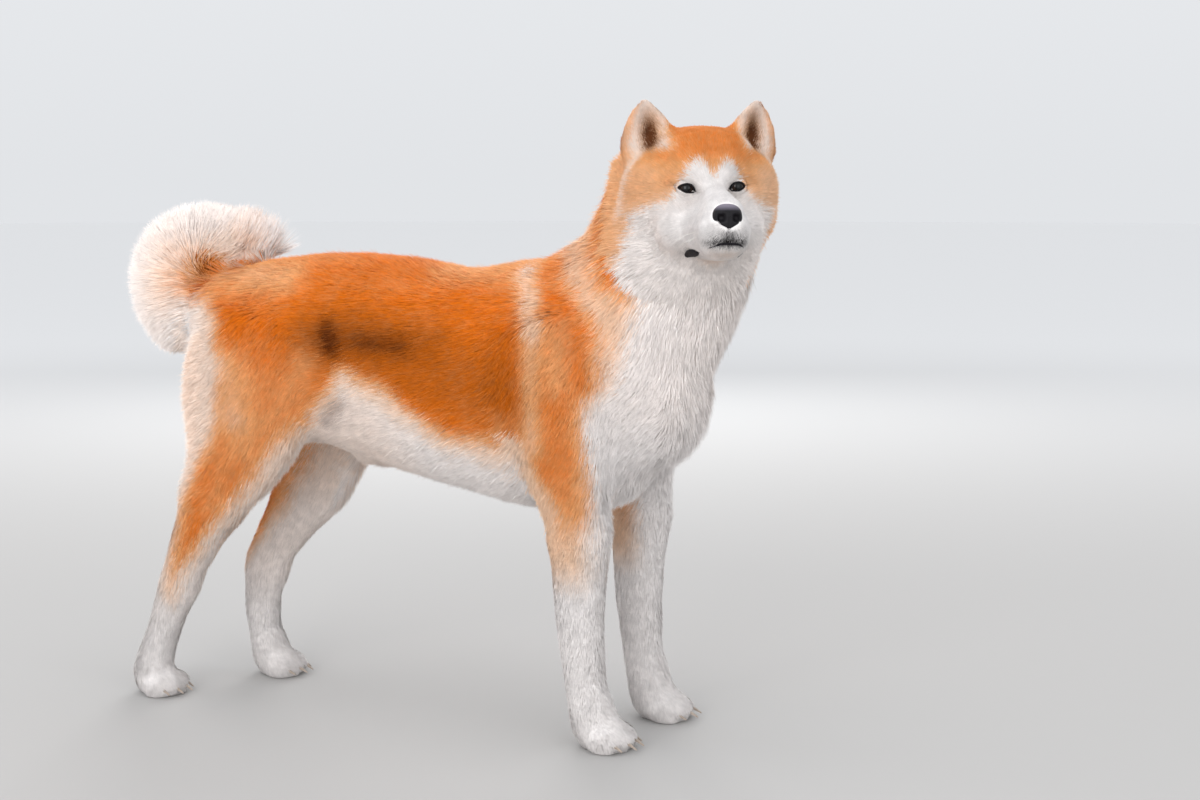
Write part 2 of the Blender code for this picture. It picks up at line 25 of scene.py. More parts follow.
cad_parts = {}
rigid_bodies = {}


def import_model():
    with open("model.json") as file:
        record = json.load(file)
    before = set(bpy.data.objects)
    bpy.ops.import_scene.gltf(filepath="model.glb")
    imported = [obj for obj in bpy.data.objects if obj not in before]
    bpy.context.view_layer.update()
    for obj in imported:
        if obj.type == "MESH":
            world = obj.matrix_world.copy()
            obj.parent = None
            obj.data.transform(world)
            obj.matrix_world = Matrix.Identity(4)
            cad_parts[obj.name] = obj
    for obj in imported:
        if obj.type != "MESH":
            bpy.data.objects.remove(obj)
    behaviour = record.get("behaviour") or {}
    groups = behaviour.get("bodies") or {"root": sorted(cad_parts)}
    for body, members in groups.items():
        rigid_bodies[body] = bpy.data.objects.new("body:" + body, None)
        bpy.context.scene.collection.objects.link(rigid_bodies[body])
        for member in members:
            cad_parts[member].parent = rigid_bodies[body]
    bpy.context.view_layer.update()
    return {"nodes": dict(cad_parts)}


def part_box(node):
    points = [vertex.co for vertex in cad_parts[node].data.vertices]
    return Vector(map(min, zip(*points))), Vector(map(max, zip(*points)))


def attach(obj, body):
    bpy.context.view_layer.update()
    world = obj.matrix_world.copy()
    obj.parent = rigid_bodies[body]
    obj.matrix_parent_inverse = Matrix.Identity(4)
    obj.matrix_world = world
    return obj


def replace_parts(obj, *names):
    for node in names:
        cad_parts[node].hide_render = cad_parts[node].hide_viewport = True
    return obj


LOG = logging.getLogger("akita")
BODY = "root"
BAKE_MAP = "OFBake"

# The dark mask holds the sable smudges and also painted shade: the groin fold, the ear hollows and
# the hole in the tail's curl.
MASKS = ("red", "cream", "dark", "black")

Nodes = dict[str, bpy.types.Object]
Socket = bpy.types.NodeSocket


class Side(Enum):
    """One side of the dog, with the sign of +Y on it."""

    LEFT = 1
    RIGHT = -1


# ---------------------------------------------------------------- numbers and vectors
def unit(vectors: np.ndarray) -> np.ndarray:
    """Vectors scaled to a length of 1."""
    lengths = np.linalg.norm(vectors, axis=-1, keepdims=True)
    return vectors / np.maximum(lengths, 1e-9)


def flattened(
    vectors: np.ndarray, normals: np.ndarray, share: float | np.ndarray = 1.0
) -> np.ndarray:
    """Vectors without a share of their part along the normals."""
    return vectors - normals * (vectors * normals).sum(axis=1, keepdims=True) * share


def ramp(values: np.ndarray, low: float, high: float) -> np.ndarray:
    """A smooth step from 0 at low to 1 at high, where low may be the larger."""
    share = np.clip((values - low) / (high - low), 0.0, 1.0)
    return share * share * (3 - 2 * share)


def mix(first: np.ndarray, second: np.ndarray, share: np.ndarray) -> np.ndarray:
    """The two arrays mixed by a share between 0 and 1."""
    if np.ndim(first) > 1 or np.ndim(second) > 1:
        share = share[:, None]
    return first * (1 - share) + second * share


def blob(points: np.ndarray, centre: tuple, radii: tuple) -> np.ndarray:
    """A bell of height 1 round a centre, with its own radius on each axis."""
    away = ((points - np.array(centre)) / np.array(radii)) ** 2
    return np.exp(-away.sum(axis=1))


def waves(points: np.ndarray, length: float, seed: int) -> np.ndarray:
    """A smooth random field between about -1 and 1, with swells of the given length."""
    draw = np.random.default_rng(seed)
    total = np.zeros(len(points))
    for _ in range(6):
        way = unit(draw.normal(size=3)) * 2 * math.pi / (length * draw.uniform(0.7, 1.5))
        total += np.sin(points @ way + draw.uniform(0, 2 * math.pi))
    return total / 2.4


def ridge(points: np.ndarray, start: tuple, end: tuple, width: float) -> np.ndarray:
    """A bell of height 1 along the line between two places."""
    start, along = np.array(start), np.subtract(end, start)
    share = np.clip((points - start) @ along / (along @ along), 0, 1)
    away = np.linalg.norm(points - start - share[:, None] * along, axis=1)
    return np.exp(-((away / width) ** 2))


def stripe(points: np.ndarray, start: tuple, end: tuple, width: float) -> np.ndarray:
    """A bell of height 1 along a line between two (x, z) places, seen from the side."""
    return ridge(points[:, [0, 2]], start, end, width)


def stripes(points: np.ndarray, rows: tuple) -> np.ndarray:
    """The sum of some stripes. A row is an amount, two (x, z) ends and a half width."""
    return sum(amount * stripe(points, start, end, width) for amount, start, end, width in rows)


def along_curve(rows: tuple | np.ndarray, steps: int) -> np.ndarray:
    """A smooth run of rows through the given ones."""
    rows = np.array(rows, float)
    ends = np.vstack([2 * rows[0] - rows[1], rows, 2 * rows[-1] - rows[-2]])
    made = []
    for a, b, c, d in zip(ends, ends[1:], ends[2:], ends[3:]):
        for t in np.arange(steps) / steps:
            cubic = (3 * b - a - 3 * c + d) * t**3 + (2 * a - 5 * b + 4 * c - d) * t**2
            made.append(0.5 * (2 * b + (c - a) * t + cubic))
    made.append(rows[-1])
    return np.array(made)


# ---------------------------------------------------------------- the head's own frame
@dataclass
class HeadFrame:
    """The head's coordinates: forward, left and up from the point midway between the eyes."""

    turn: float = math.radians(-59.0)
    lift: float = math.radians(1.0)
    eye_setback: float = 0.0095

    def __post_init__(self) -> None:
        """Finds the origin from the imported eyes."""
        cz, sz = math.cos(self.turn), math.sin(self.turn)
        cy, sy = math.cos(self.lift), math.sin(self.lift)
        self.axes = np.array(((cz, -sz, 0), (sz, cz, 0), (0, 0, 1))) @ np.array(
            ((cy, 0, -sy), (0, 1, 0), (sy, 0, cy))
        )
        boxes = [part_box(f"eye_{side}") for side in ("left", "right")]
        self.between_eyes = np.mean([np.array(corner) for box in boxes for corner in box], axis=0)
        self.origin = self.between_eyes + self.axes[:, 0] * self.eye_setback

    def inward(self, points: np.ndarray) -> np.ndarray:
        """Body points in head coordinates."""
        return (points - self.origin) @ self.axes

    def outward(self, points: np.ndarray) -> np.ndarray:
        """Head points in body coordinates."""
        return np.asarray(points) @ self.axes.T + self.origin

    def direction(self, vectors: np.ndarray) -> np.ndarray:
        """Head directions in body coordinates."""
        return np.asarray(vectors) @ self.axes.T


# ---------------------------------------------------------------- meshes as arrays
def read_array(
    rows: bpy.types.bpy_prop_collection, key: str, width: int, kind: type = float
) -> np.ndarray:
    """One property of every item of a mesh.

    Args:
        rows: The vertices, edges, corners or triangles.
        key: The property's name.
        width: How many numbers each item has.
        kind: The type of the numbers.

    Returns:
        The numbers, with a row for each item.
    """
    found = np.empty(len(rows) * width, kind)
    rows.foreach_get(key, found)
    return found.reshape(-1, width)


class Surface:
    """A mesh whose points are read, smoothed and moved as arrays."""

    def __init__(self, mesh: bpy.types.Mesh) -> None:
        """Reads a mesh.

        Args:
            mesh: The mesh that the arrays stand for.
        """
        self.mesh = mesh
        self.count = len(mesh.vertices)
        self.points = read_array(mesh.vertices, "co", 3)
        self.ends = read_array(mesh.edges, "vertices", 2, np.int64)
        self.degree = np.bincount(self.ends.ravel(), minlength=self.count).astype(float)

    def store(self) -> None:
        """Writes the points back into the mesh."""
        self.mesh.vertices.foreach_set("co", self.points.ravel())
        self.mesh.update()

    def normals(self) -> np.ndarray:
        """The unit normal at every point, as the points now lie."""
        self.store()
        return read_array(self.mesh.vertex_normals, "vector", 3, np.float32).astype(float)

    def around(self, values: np.ndarray) -> np.ndarray:
        """The mean of each point's neighbours."""
        one, other = self.ends.T
        columns = values.reshape(self.count, -1)
        total = np.empty_like(columns)
        for k, column in enumerate(columns.T):
            total[:, k] = np.bincount(one, column[other], self.count)
            total[:, k] += np.bincount(other, column[one], self.count)
        return (total / self.degree[:, None]).reshape(values.shape)

    def diffuse(self, values: np.ndarray, rounds: int) -> np.ndarray:
        """Values spread over the surface a little more each round."""
        for _ in range(rounds):
            values = 0.5 * values + 0.5 * self.around(values)
        return values

    def relax(self, rounds: int, share: float | np.ndarray = 1.0) -> None:
        """Smooths the points. Each round's second half swells back what the first half shrank.

        Args:
            rounds: How many times.
            share: How much of it each point takes.
        """
        weight = np.broadcast_to(share, (self.count,))[:, None]
        for _ in range(rounds):
            for step in (0.55, -0.57):
                self.points += weight * step * (self.around(self.points) - self.points)

    def triangles(self) -> np.ndarray:
        """The corners of every triangle."""
        self.mesh.calc_loop_triangles()
        return read_array(self.mesh.loop_triangles, "vertices", 3, np.int32)

    def triangle_loops(self) -> np.ndarray:
        """The face corners of every triangle, which the UV map is read by."""
        return read_array(self.mesh.loop_triangles, "loops", 3, np.int32)


def write_attribute(mesh: bpy.types.Mesh, name: str, values: np.ndarray) -> None:
    """Writes one number for each point of a mesh."""
    layer = mesh.attributes.new(name, "FLOAT", "POINT")
    layer.data.foreach_set("value", np.ascontiguousarray(values, np.float32))


def object_of(mesh: bpy.types.Mesh, name: str) -> bpy.types.Object:
    """A new object in the scene that holds this mesh."""
    mesh.name = name
    made = bpy.data.objects.new(name, mesh)
    bpy.context.scene.collection.objects.link(made)
    return made


def object_from(bm: bmesh.types.BMesh, name: str, smooth: bool = True) -> bpy.types.Object:
    """A new object from a bmesh, which it frees."""
    bmesh.ops.recalc_face_normals(bm, faces=bm.faces)
    for face in bm.faces:
        face.smooth = smooth
    mesh = bpy.data.meshes.new(name)
    bm.to_mesh(mesh)
    bm.free()
    return object_of(mesh, name)


def pour(piece: bmesh.types.BMesh, whole: bmesh.types.BMesh) -> None:
    """Adds one bmesh to another and frees it."""
    mesh = bpy.data.meshes.new("poured")
    piece.to_mesh(mesh)
    piece.free()
    whole.from_mesh(mesh)
    bpy.data.meshes.remove(mesh)


def bridged_rings(rings: list[np.ndarray], closed_ends: bool = True) -> bmesh.types.BMesh:
    """A bmesh skinned over rings of points that have the same number of sides.

    Args:
        rings: One array of points for each ring.
        closed_ends: Whether the first and last rings get a face.

    Returns:
        The new bmesh.
    """
    bm = bmesh.new()
    edges = []
    for ring in rings:
        made = bmesh.ops.create_circle(bm, segments=len(ring), radius=1.0)["verts"]
        for vertex, point in zip(made, ring):
            vertex.co = point
        edges.append(list({edge for vertex in made for edge in vertex.link_edges}))
    for one, other in zip(edges, edges[1:]):
        bmesh.ops.bridge_loops(bm, edges=one + other)
    if closed_ends:
        for ends in (edges[0], edges[-1]):
            bmesh.ops.contextual_create(bm, geom=ends)
    return bm


def tube(
    path: np.ndarray, across: np.ndarray, radii: np.ndarray, sides: int = 10
) -> bmesh.types.BMesh:
    """A tube with an oval section along a path.

    Args:
        path: The points of its centreline.
        across: The direction in which each section is wide.
        radii: The half width and half height of each section.
        sides: The number of sides.

    Returns:
        The new bmesh.
    """
    tangents = unit(np.gradient(path, axis=0))
    across = unit(flattened(across, tangents))
    high = np.cross(tangents, across)
    turns = np.arange(sides) * 2 * math.pi / sides
    rings = []
    for centre, wide, tall, (width, height) in zip(path, across, high, radii):
        sideways = np.outer(np.cos(turns) * width, wide)
        rings.append(centre + sideways + np.outer(np.sin(turns) * height, tall))
    return bridged_rings(rings)


# ---------------------------------------------------------------- how the coat stands
@dataclass(frozen=True)
class Pile:
    """How the coat stands on one part of the body.

    Args:
        depth: From the skin to the tips.
        length: Of one tuft.
        width: Of one tuft at its root.
        cover: How many tufts lie over each other.
        lie: The way it lies, in body directions.
    """

    depth: float
    length: float
    width: float
    cover: float
    lie: tuple[float, float, float]


PILES = {
    "head": Pile(0.0060, 0.015, 0.0009, 6.6, (-0.4, 0.0, -0.6)),
    "lower_jaw": Pile(0.0035, 0.010, 0.0009, 6.0, (-0.6, 0.0, -0.3)),
    "ear": Pile(0.0030, 0.009, 0.0008, 6.0, (0.0, 0.0, 1.0)),
    "neck": Pile(0.0260, 0.040, 0.0012, 9.0, (-0.45, 0.0, -0.9)),
    "chest": Pile(0.0200, 0.032, 0.0010, 6.4, (-0.92, 0.0, -0.40)),
    "loin": Pile(0.0180, 0.030, 0.0010, 6.4, (-0.96, 0.0, -0.28)),
    "rump": Pile(0.0190, 0.032, 0.0010, 6.4, (-0.88, 0.0, -0.48)),
    "tail": Pile(0.0260, 0.048, 0.0012, 12.5, (0.0, 0.0, 1.0)),
    "upper_arm": Pile(0.0150, 0.027, 0.0010, 5.8, (-0.38, 0.0, -0.92)),
    "forearm": Pile(0.0065, 0.018, 0.0012, 4.6, (-0.12, 0.0, -1.0)),
    "thigh": Pile(0.0170, 0.030, 0.0010, 5.8, (-0.50, 0.0, -0.86)),
    "lower_thigh": Pile(0.0100, 0.024, 0.0012, 5.2, (-0.45, 0.0, -0.89)),
    "hock": Pile(0.0060, 0.017, 0.0012, 4.6, (-0.10, 0.0, -1.0)),
    "fore_paw": Pile(0.0035, 0.012, 0.0012, 4.2, (0.45, 0.0, -0.9)),
    "hind_paw": Pile(0.0035, 0.012, 0.0012, 4.2, (0.45, 0.0, -0.9)),
}


def pile_of(node: str) -> str:
    """The name of the pile that grows on a CAD node."""
    if node.startswith(("ear_", "tail_")):
        return node.split("_")[0]
    if node.endswith("_paw"):
        return node.split("_")[0] + "_paw"
    if node.startswith(("fore_", "hind_")):
        return "_".join(node.split("_")[2:])
    return node


@dataclass
class TailLine:
    """The line of the tail's bone, from the rump round its curl to the tip."""

    stations: tuple = (
        (-0.329, 0.012, 0.612),
        (-0.379, 0.012, 0.589),
        (-0.428, 0.014, 0.591),
        (-0.459, 0.020, 0.636),
        (-0.451, 0.030, 0.682),
        (-0.412, 0.042, 0.704),
        (-0.368, 0.056, 0.697),
        (-0.336, 0.068, 0.686),
        (-0.308, 0.076, 0.684),
    )
    hub: tuple = (-0.399, 0.018, 0.657)
    steps: int = 8

    def __post_init__(self) -> None:
        """Smooths the line and finds its direction at each point."""
        self.line = along_curve(self.stations, self.steps)
        self.ways = unit(np.gradient(self.line, axis=0))

    def way_by(self, points: np.ndarray) -> np.ndarray:
        """The line's direction at the place that is nearest to each point."""
        squares = ((points[:, None, :] - self.line[None, :, :]) ** 2).sum(axis=2)
        return self.ways[squares.argmin(axis=1)]

    def from_tip(self, points: np.ndarray) -> np.ndarray:
        """The distance of each point from the tip."""
        return np.linalg.norm(points - self.line[-1], axis=1)

    def spokes(self, points: np.ndarray) -> tuple[np.ndarray, np.ndarray]:
        """For each point: the way out from the hub of the curl, and the distance from the hub."""
        out = (points - np.array(self.hub)) * (1.0, 0.25, 1.0)
        return unit(out), np.linalg.norm(out, axis=1)


# ---------------------------------------------------------------- markings
@dataclass
class Markings:
    """The red, cream, sable and bare-skin marks, with some painted sheen and painted shade among
    them, as functions of the place on the dog.

    Profiles are rows of (place, level) in metres, and the rest are rows for stripes.
    """

    head: HeadFrame
    flank: tuple = (  # x, and the height where the red ends
        (-0.402, 0.182),
        (-0.374, 0.216),
        (-0.333, 0.264),
        (-0.290, 0.306),
        (-0.255, 0.346),
        (-0.235, 0.368),
        (-0.201, 0.416),
        (-0.168, 0.440),
        (-0.131, 0.482),
        (-0.096, 0.520),
        (-0.034, 0.506),
        (0.003, 0.480),
        (0.039, 0.458),
        (0.082, 0.436),
        (0.163, 0.424),
        (0.228, 0.418),
    )
    breeches: tuple = (  # height, and the x where the red ends behind
        (0.198, -0.392),
        (0.245, -0.386),
        (0.286, -0.372),
        (0.327, -0.350),
        (0.365, -0.333),
        (0.403, -0.306),
        (0.440, -0.288),
        (0.517, -0.275),
        (0.551, -0.294),
        (0.586, -0.306),
        (0.615, -0.335),
    )
    breast: tuple = (  # height, and the x where the red ends in front
        (0.300, 0.294),
        (0.400, 0.292),
        (0.460, 0.290),
        (0.490, 0.292),
        (0.515, 0.306),
        (0.567, 0.304),
        (0.592, 0.298),
        (0.620, 0.280),
        (0.645, 0.257),
        (0.670, 0.241),
        (0.695, 0.216),
        (0.720, 0.192),
        (0.760, 0.150),
    )
    bib: tuple = (  # height, and the x where the cream ends in front
        (0.230, 0.300),
        (0.360, 0.302),
        (0.460, 0.296),
        (0.515, 0.330),
        (0.567, 0.344),
        (0.620, 0.362),
        (0.660, 0.356),
        (0.700, 0.345),
        (0.760, 0.335),
    )
    pale: tuple = (  # hair that is paler
        (0.44, (-0.340, 0.652), (-0.205, 0.650), 0.032),
        (0.32, (-0.160, 0.525), (-0.188, 0.440), 0.028),
        (0.26, (-0.232, 0.500), (-0.240, 0.390), 0.040),
        (0.42, (-0.270, 0.525), (-0.268, 0.450), 0.028),
        (0.24, (-0.268, 0.430), (-0.300, 0.330), 0.036),
        (0.34, (0.040, 0.672), (0.185, 0.674), 0.020),
        (0.62, (0.176, 0.664), (0.199, 0.630), 0.016),
        (0.66, (0.199, 0.630), (0.214, 0.590), 0.017),
        (0.56, (0.214, 0.590), (0.219, 0.430), 0.018),
        (0.44, (0.254, 0.590), (0.258, 0.520), 0.026),
    )
    finger: tuple = (  # the red that runs down the neck
        (0.40, (0.262, 0.760), (0.296, 0.712), 0.028),
        (0.62, (0.298, 0.708), (0.310, 0.674), 0.026),
        (0.54, (0.310, 0.672), (0.338, 0.642), 0.018),
    )
    deep: tuple = (  # hair that is darker
        (0.20, (-0.160, 0.582), (0.060, 0.572), 0.030),
        (0.33, (-0.100, 0.560), (0.150, 0.505), 0.060),
        (0.34, (-0.121, 0.588), (-0.114, 0.548), 0.014),
        (0.22, (-0.150, 0.560), (-0.100, 0.556), 0.024),
        (0.34, (-0.058, 0.562), (0.004, 0.560), 0.017),
    )
    face: tuple = (  # distance from the middle plane, and the height where the red starts
        (0.000, 0.019),
        (0.005, 0.026),
        (0.012, 0.037),
        (0.022, 0.040),
        (0.034, 0.032),
        (0.043, 0.016),
        (0.050, 0.002),
        (0.070, -0.010),
        (0.091, -0.020),
        (0.110, -0.028),
    )
    streak: tuple = (  # the pale line from the ear down behind the cheek, in head coordinates
        (-0.066, 0.088, 0.052),
        (-0.065, 0.098, 0.032),
        (-0.068, 0.107, 0.012),
        (-0.076, 0.111, -0.009),
        (-0.076, 0.115, -0.034),
    )
    streak_width: float = 0.011

    def at(self, points: np.ndarray, kinds: np.ndarray, names: list[str]) -> dict[str, np.ndarray]:
        """The masks at some points.

        Args:
            points: Places near the outside of the coat.
            kinds: The index of the pile that each point belongs to.
            names: The piles' names in that order.

        Returns:
            Masks named red, cream, dark and black, between 0 and 1.
        """
        of = {name: kinds == index for index, name in enumerate(names)}
        ragged = 0.004 * waves(points, 0.045, 3) + 0.002 * waves(points, 0.015, 4)
        u, v, w = self.head.inward(points).T
        spot = np.stack([u, np.abs(v), w], axis=1)
        skull = of["head"] | of["lower_jaw"]
        ear = (skull | of["ear"]) * ramp(w, 0.044, 0.060) * ramp(spot[:, 1], 0.040, 0.050)
        layers = (
            (self.trunk_marks(points, of, ragged), 1.0),
            (self.skull_marks(spot, v, ragged), (skull | of["ear"]).astype(float)),
            (self.ear_marks(spot), ear),
            (self.tail_marks(points), of["tail"].astype(float)),
        )
        found = {}
        for row, name in enumerate(MASKS):
            values = np.zeros(len(points))
            for marks, share in layers:
                values = mix(values, marks[row], share)
            found[name] = np.clip(values, 0, 1)
        return found

    def trunk_marks(
        self, points: np.ndarray, of: dict[str, np.ndarray], ragged: np.ndarray
    ) -> tuple:
        """The masks of the body, the neck and the legs."""
        x, y, z = points.T
        side = np.abs(y)
        arm, leg = of["upper_arm"] | of["forearm"], of["thigh"] | of["lower_thigh"] | of["hock"]
        line = np.interp(x, *np.array(self.flank).T)
        front = np.interp(z, *np.array(self.breast).T)
        rear = np.interp(z, *np.array(self.breeches).T)
        bib = np.interp(z, *np.array(self.bib).T)
        zone = ramp(z - line + ragged, -0.020, 0.020)
        back_of_arm = np.interp(z, (0.33, 0.365, 0.40, 0.44), (0.250, 0.238, 0.216, 0.196))
        sleeve = ramp(z + 2 * ragged, 0.285, 0.350) * ramp(x - back_of_arm + ragged, -0.012, 0.014)
        zone = np.where(arm & (z < 0.44), sleeve, zone)
        zone *= ramp(front - x + ragged, -0.022, 0.024)
        zone *= ramp(side, 0.030, 0.062) * ramp(z, 0.56, 0.50) + ramp(z, 0.50, 0.56)
        zone = np.where(leg, zone * ramp(side, 0.040, 0.072), zone)
        seat = ramp(rear - x + ragged, -0.024, 0.024) * ramp(z, 0.640, 0.600) * (x < -0.2)
        strength = 0.98 + 0.04 * waves(points, 0.09, 5)
        # Painted sheen: the first term pales the red along the top of the back, standing in for
        # the sky's sheen on it. The second term pales the red low on the body.
        strength -= 0.12 * ramp(z, 0.62, 0.66) + 0.14 * ramp(z, 0.36, 0.26)
        strength -= stripes(points, self.pale)
        strength -= arm * (0.22 * ramp(z, 0.50, 0.44) + 0.14 * ramp(z, 0.41, 0.36))
        red = np.clip(strength, 0.04, 1.0) * zone * (1 - seat)
        neck = ramp(x, 0.19, 0.23) * ramp(z, 0.60, 0.64)
        nape = 0.18 * ramp(z, 0.735, 0.775) + 0.08 * ramp(z, 0.67, 0.70) * ramp(x, 0.33, 0.29)
        red += neck * (stripes(points, self.finger) + nape)

        low = 0.04 + 0.07 * ramp(z, 0.40, 0.50) * (x > 0)
        low += (0.26 * ramp(x, 0.06, -0.08) + 0.06) * ramp(z, 0.26, 0.38) * ramp(x, 0.22, 0.16)
        low += 0.20 * leg * ramp(z, 0.08, 0.22)
        edge = ramp(z - line + 2 * ragged, -0.060, -0.004) * ramp(x, 0.23, 0.19)
        edge *= ramp(side, 0.030, 0.062)
        breast = ramp(bib - x + ragged, -0.020, 0.030) * ramp(x, 0.16, 0.20)
        breast *= np.where(arm | of["fore_paw"], ramp(z, 0.20, 0.28), ramp(z, 0.40, 0.46))
        behind = ramp(x, -0.30, -0.27) + ramp(rear - x, 0.060, 0.000)
        cream = np.maximum(low, np.maximum(0.85 * edge * np.clip(behind, 0, 1), 0.95 * breast))
        pale_seat = 0.8 * seat * ramp(rear - x, 0.010, 0.060)
        cream = np.maximum(cream, ramp(red, 0.0, 0.35) * (1 - pale_seat))
        dark = stripes(points, self.deep) * ramp(side, 0.03, 0.07) * zone
        # Painted shade: a darker band in the crease between the flank and the thigh, put into the
        # dark mask.
        fold = stripe(points, (-0.135, 0.440), (-0.105, 0.468), 0.012)
        dark += 0.42 * fold * ramp(side, 0.05, 0.08)
        return red, cream, dark, np.zeros(len(points))

    def skull_marks(self, spot: np.ndarray, v: np.ndarray, ragged: np.ndarray) -> tuple:
        """The masks of the head.

        Args:
            spot: Points in head coordinates, with the second one made positive.
            v: The second coordinate with its sign.
            ragged: How far each point's edge of a mark strays.

        Returns:
            The four masks.
        """
        u, out, w = spot.T
        level = np.interp(out, *np.array(self.face).T)
        soft = 0.006 + 0.010 * ramp(out, 0.035, 0.060)
        crown = np.clip((w - level + 0.5 * ragged) / soft * 0.5 + 0.5, 0, 1)
        crown = crown * crown * (3 - 2 * crown)
        nape = ramp(u + ragged, -0.046, -0.072)
        shade = 0.42 + 0.38 * ramp(w, 0.020, 0.056)
        shade -= 0.10 * ramp(out, 0.060, 0.085) * ramp(w, 0.070, 0.050)
        # Painted light: the cheek on the dog's left, the side away from the lamps, is made paler
        # to make up for the light it lacks.
        shade -= 0.16 * ramp(v, 0.050, 0.085) * ramp(w, 0.050, 0.010)
        shade = mix(shade, np.full(len(u), 0.36), nape * ramp(w, 0.070, 0.040))
        pale = np.zeros(len(u))
        for start, end in zip(self.streak, self.streak[1:]):
            pale = np.maximum(pale, ridge(spot, start, end, self.streak_width))
        red = np.maximum(crown, nape) * shade * (1 - 0.95 * pale)
        stain = blob(spot, (0.018, 0, -0.100), (0.030, 0.024, 0.012))
        chin = blob(spot, (0.085, 0, -0.088), (0.030, 0.024, 0.008))
        cream = np.maximum(0.02 + 0.12 * ramp(u, 0.045, -0.015), 0.50 * stain + 0.35 * chin)
        cream = np.maximum(cream, ramp(np.maximum(crown, nape), 0, 0.45) * (1 - 0.45 * pale))
        return red, cream, np.zeros(len(u)), self.mouth_marks(spot)

    def ear_marks(self, spot: np.ndarray) -> tuple:
        """The masks of the ears: painted shade in the hollow, inside a cream rim, and red behind.
        """
        u, out, w = spot.T
        # Painted shade: the dark inside the ear's hollow.
        hollow = 1.5 * blob(spot, (-0.068, 0.0725, 0.068), (0.030, 0.0085, 0.025))
        round_it = blob(spot, (-0.068, 0.070, 0.070), (0.030, 0.0150, 0.034))
        red = np.maximum(0.55 * ramp(out, 0.062, 0.045) * ramp(w, 0.115, 0.075), 0.42 * round_it)
        red = np.maximum(red, 0.34 * ramp(out + 0.25 * (w - 0.08), 0.088, 0.102))
        red = np.maximum(red, 0.58 * ramp(u, -0.078, -0.088) * ramp(w, 0.125, 0.095))
        cream = 0.30 + 0.7 * red + 0.4 * round_it
        return red, np.clip(cream, 0, 1), np.clip(hollow, 0, 0.92), np.zeros(len(u))

    def tail_marks(self, points: np.ndarray) -> tuple:
        """The masks of the tail, seen from the side: a red heart in a cream and white plume, with
        painted shade in the hole at the hub of its curl.
        """
        x, _, z = points.T
        flat = points * (1, 0, 1)
        heart = 0.88 * blob(flat, (-0.391, 0, 0.658), (0.022, 1, 0.018))
        heart += 0.30 * blob(flat, (-0.402, 0, 0.645), (0.032, 1, 0.026))
        heart = np.maximum(heart, 0.52 * stripe(points, (-0.400, 0.630), (-0.345, 0.640), 0.020))
        cream = 0.17 + 0.42 * blob(flat, (-0.442, 0, 0.635), (0.032, 1, 0.052))
        cream += 0.40 * blob(flat, (-0.385, 0, 0.690), (0.055, 1, 0.020))
        cream += 0.40 * blob(flat, (-0.335, 0, 0.706), (0.018, 1, 0.024)) + 0.9 * heart
        cream -= 0.40 * blob(flat, (-0.290, 0, 0.715), (0.025, 1, 0.035))
        cream -= 0.50 * stripe(points, (-0.420, 0.560), (-0.352, 0.597), 0.012)
        # Painted shade: the dark of the hole at the hub of the curl.
        dark = 0.95 * blob(flat, (-0.397, 0, 0.656), (0.017, 1, 0.013))
        return heart, np.clip(cream, 0, 1), dark, np.zeros(len(x))

    def mouth_marks(self, local: np.ndarray) -> np.ndarray:
        """The dark skin and hair under the nose and along the lips, in head coordinates."""
        speckle = 0.5 + 0.5 * waves(local, 0.0035, 9)
        under = 1.1 * blob(local, (0.106, 0.0, -0.066), (0.030, 0.0095, 0.0110))
        side = 0.80 * blob(local, (0.098, 0.016, -0.066), (0.030, 0.0110, 0.0100))
        side *= ramp(speckle, 0.30, 0.80)
        lip = 1.3 * blob(local, (0.098, 0.010, -0.0728), (0.030, 0.0200, 0.0045))
        corner = 0.9 * blob(local, (0.028, 0.037, -0.0905), (0.018, 0.012, 0.0078))
        return np.clip((under + lip) * (0.55 + 0.45 * speckle) + side + corner, 0, 1)


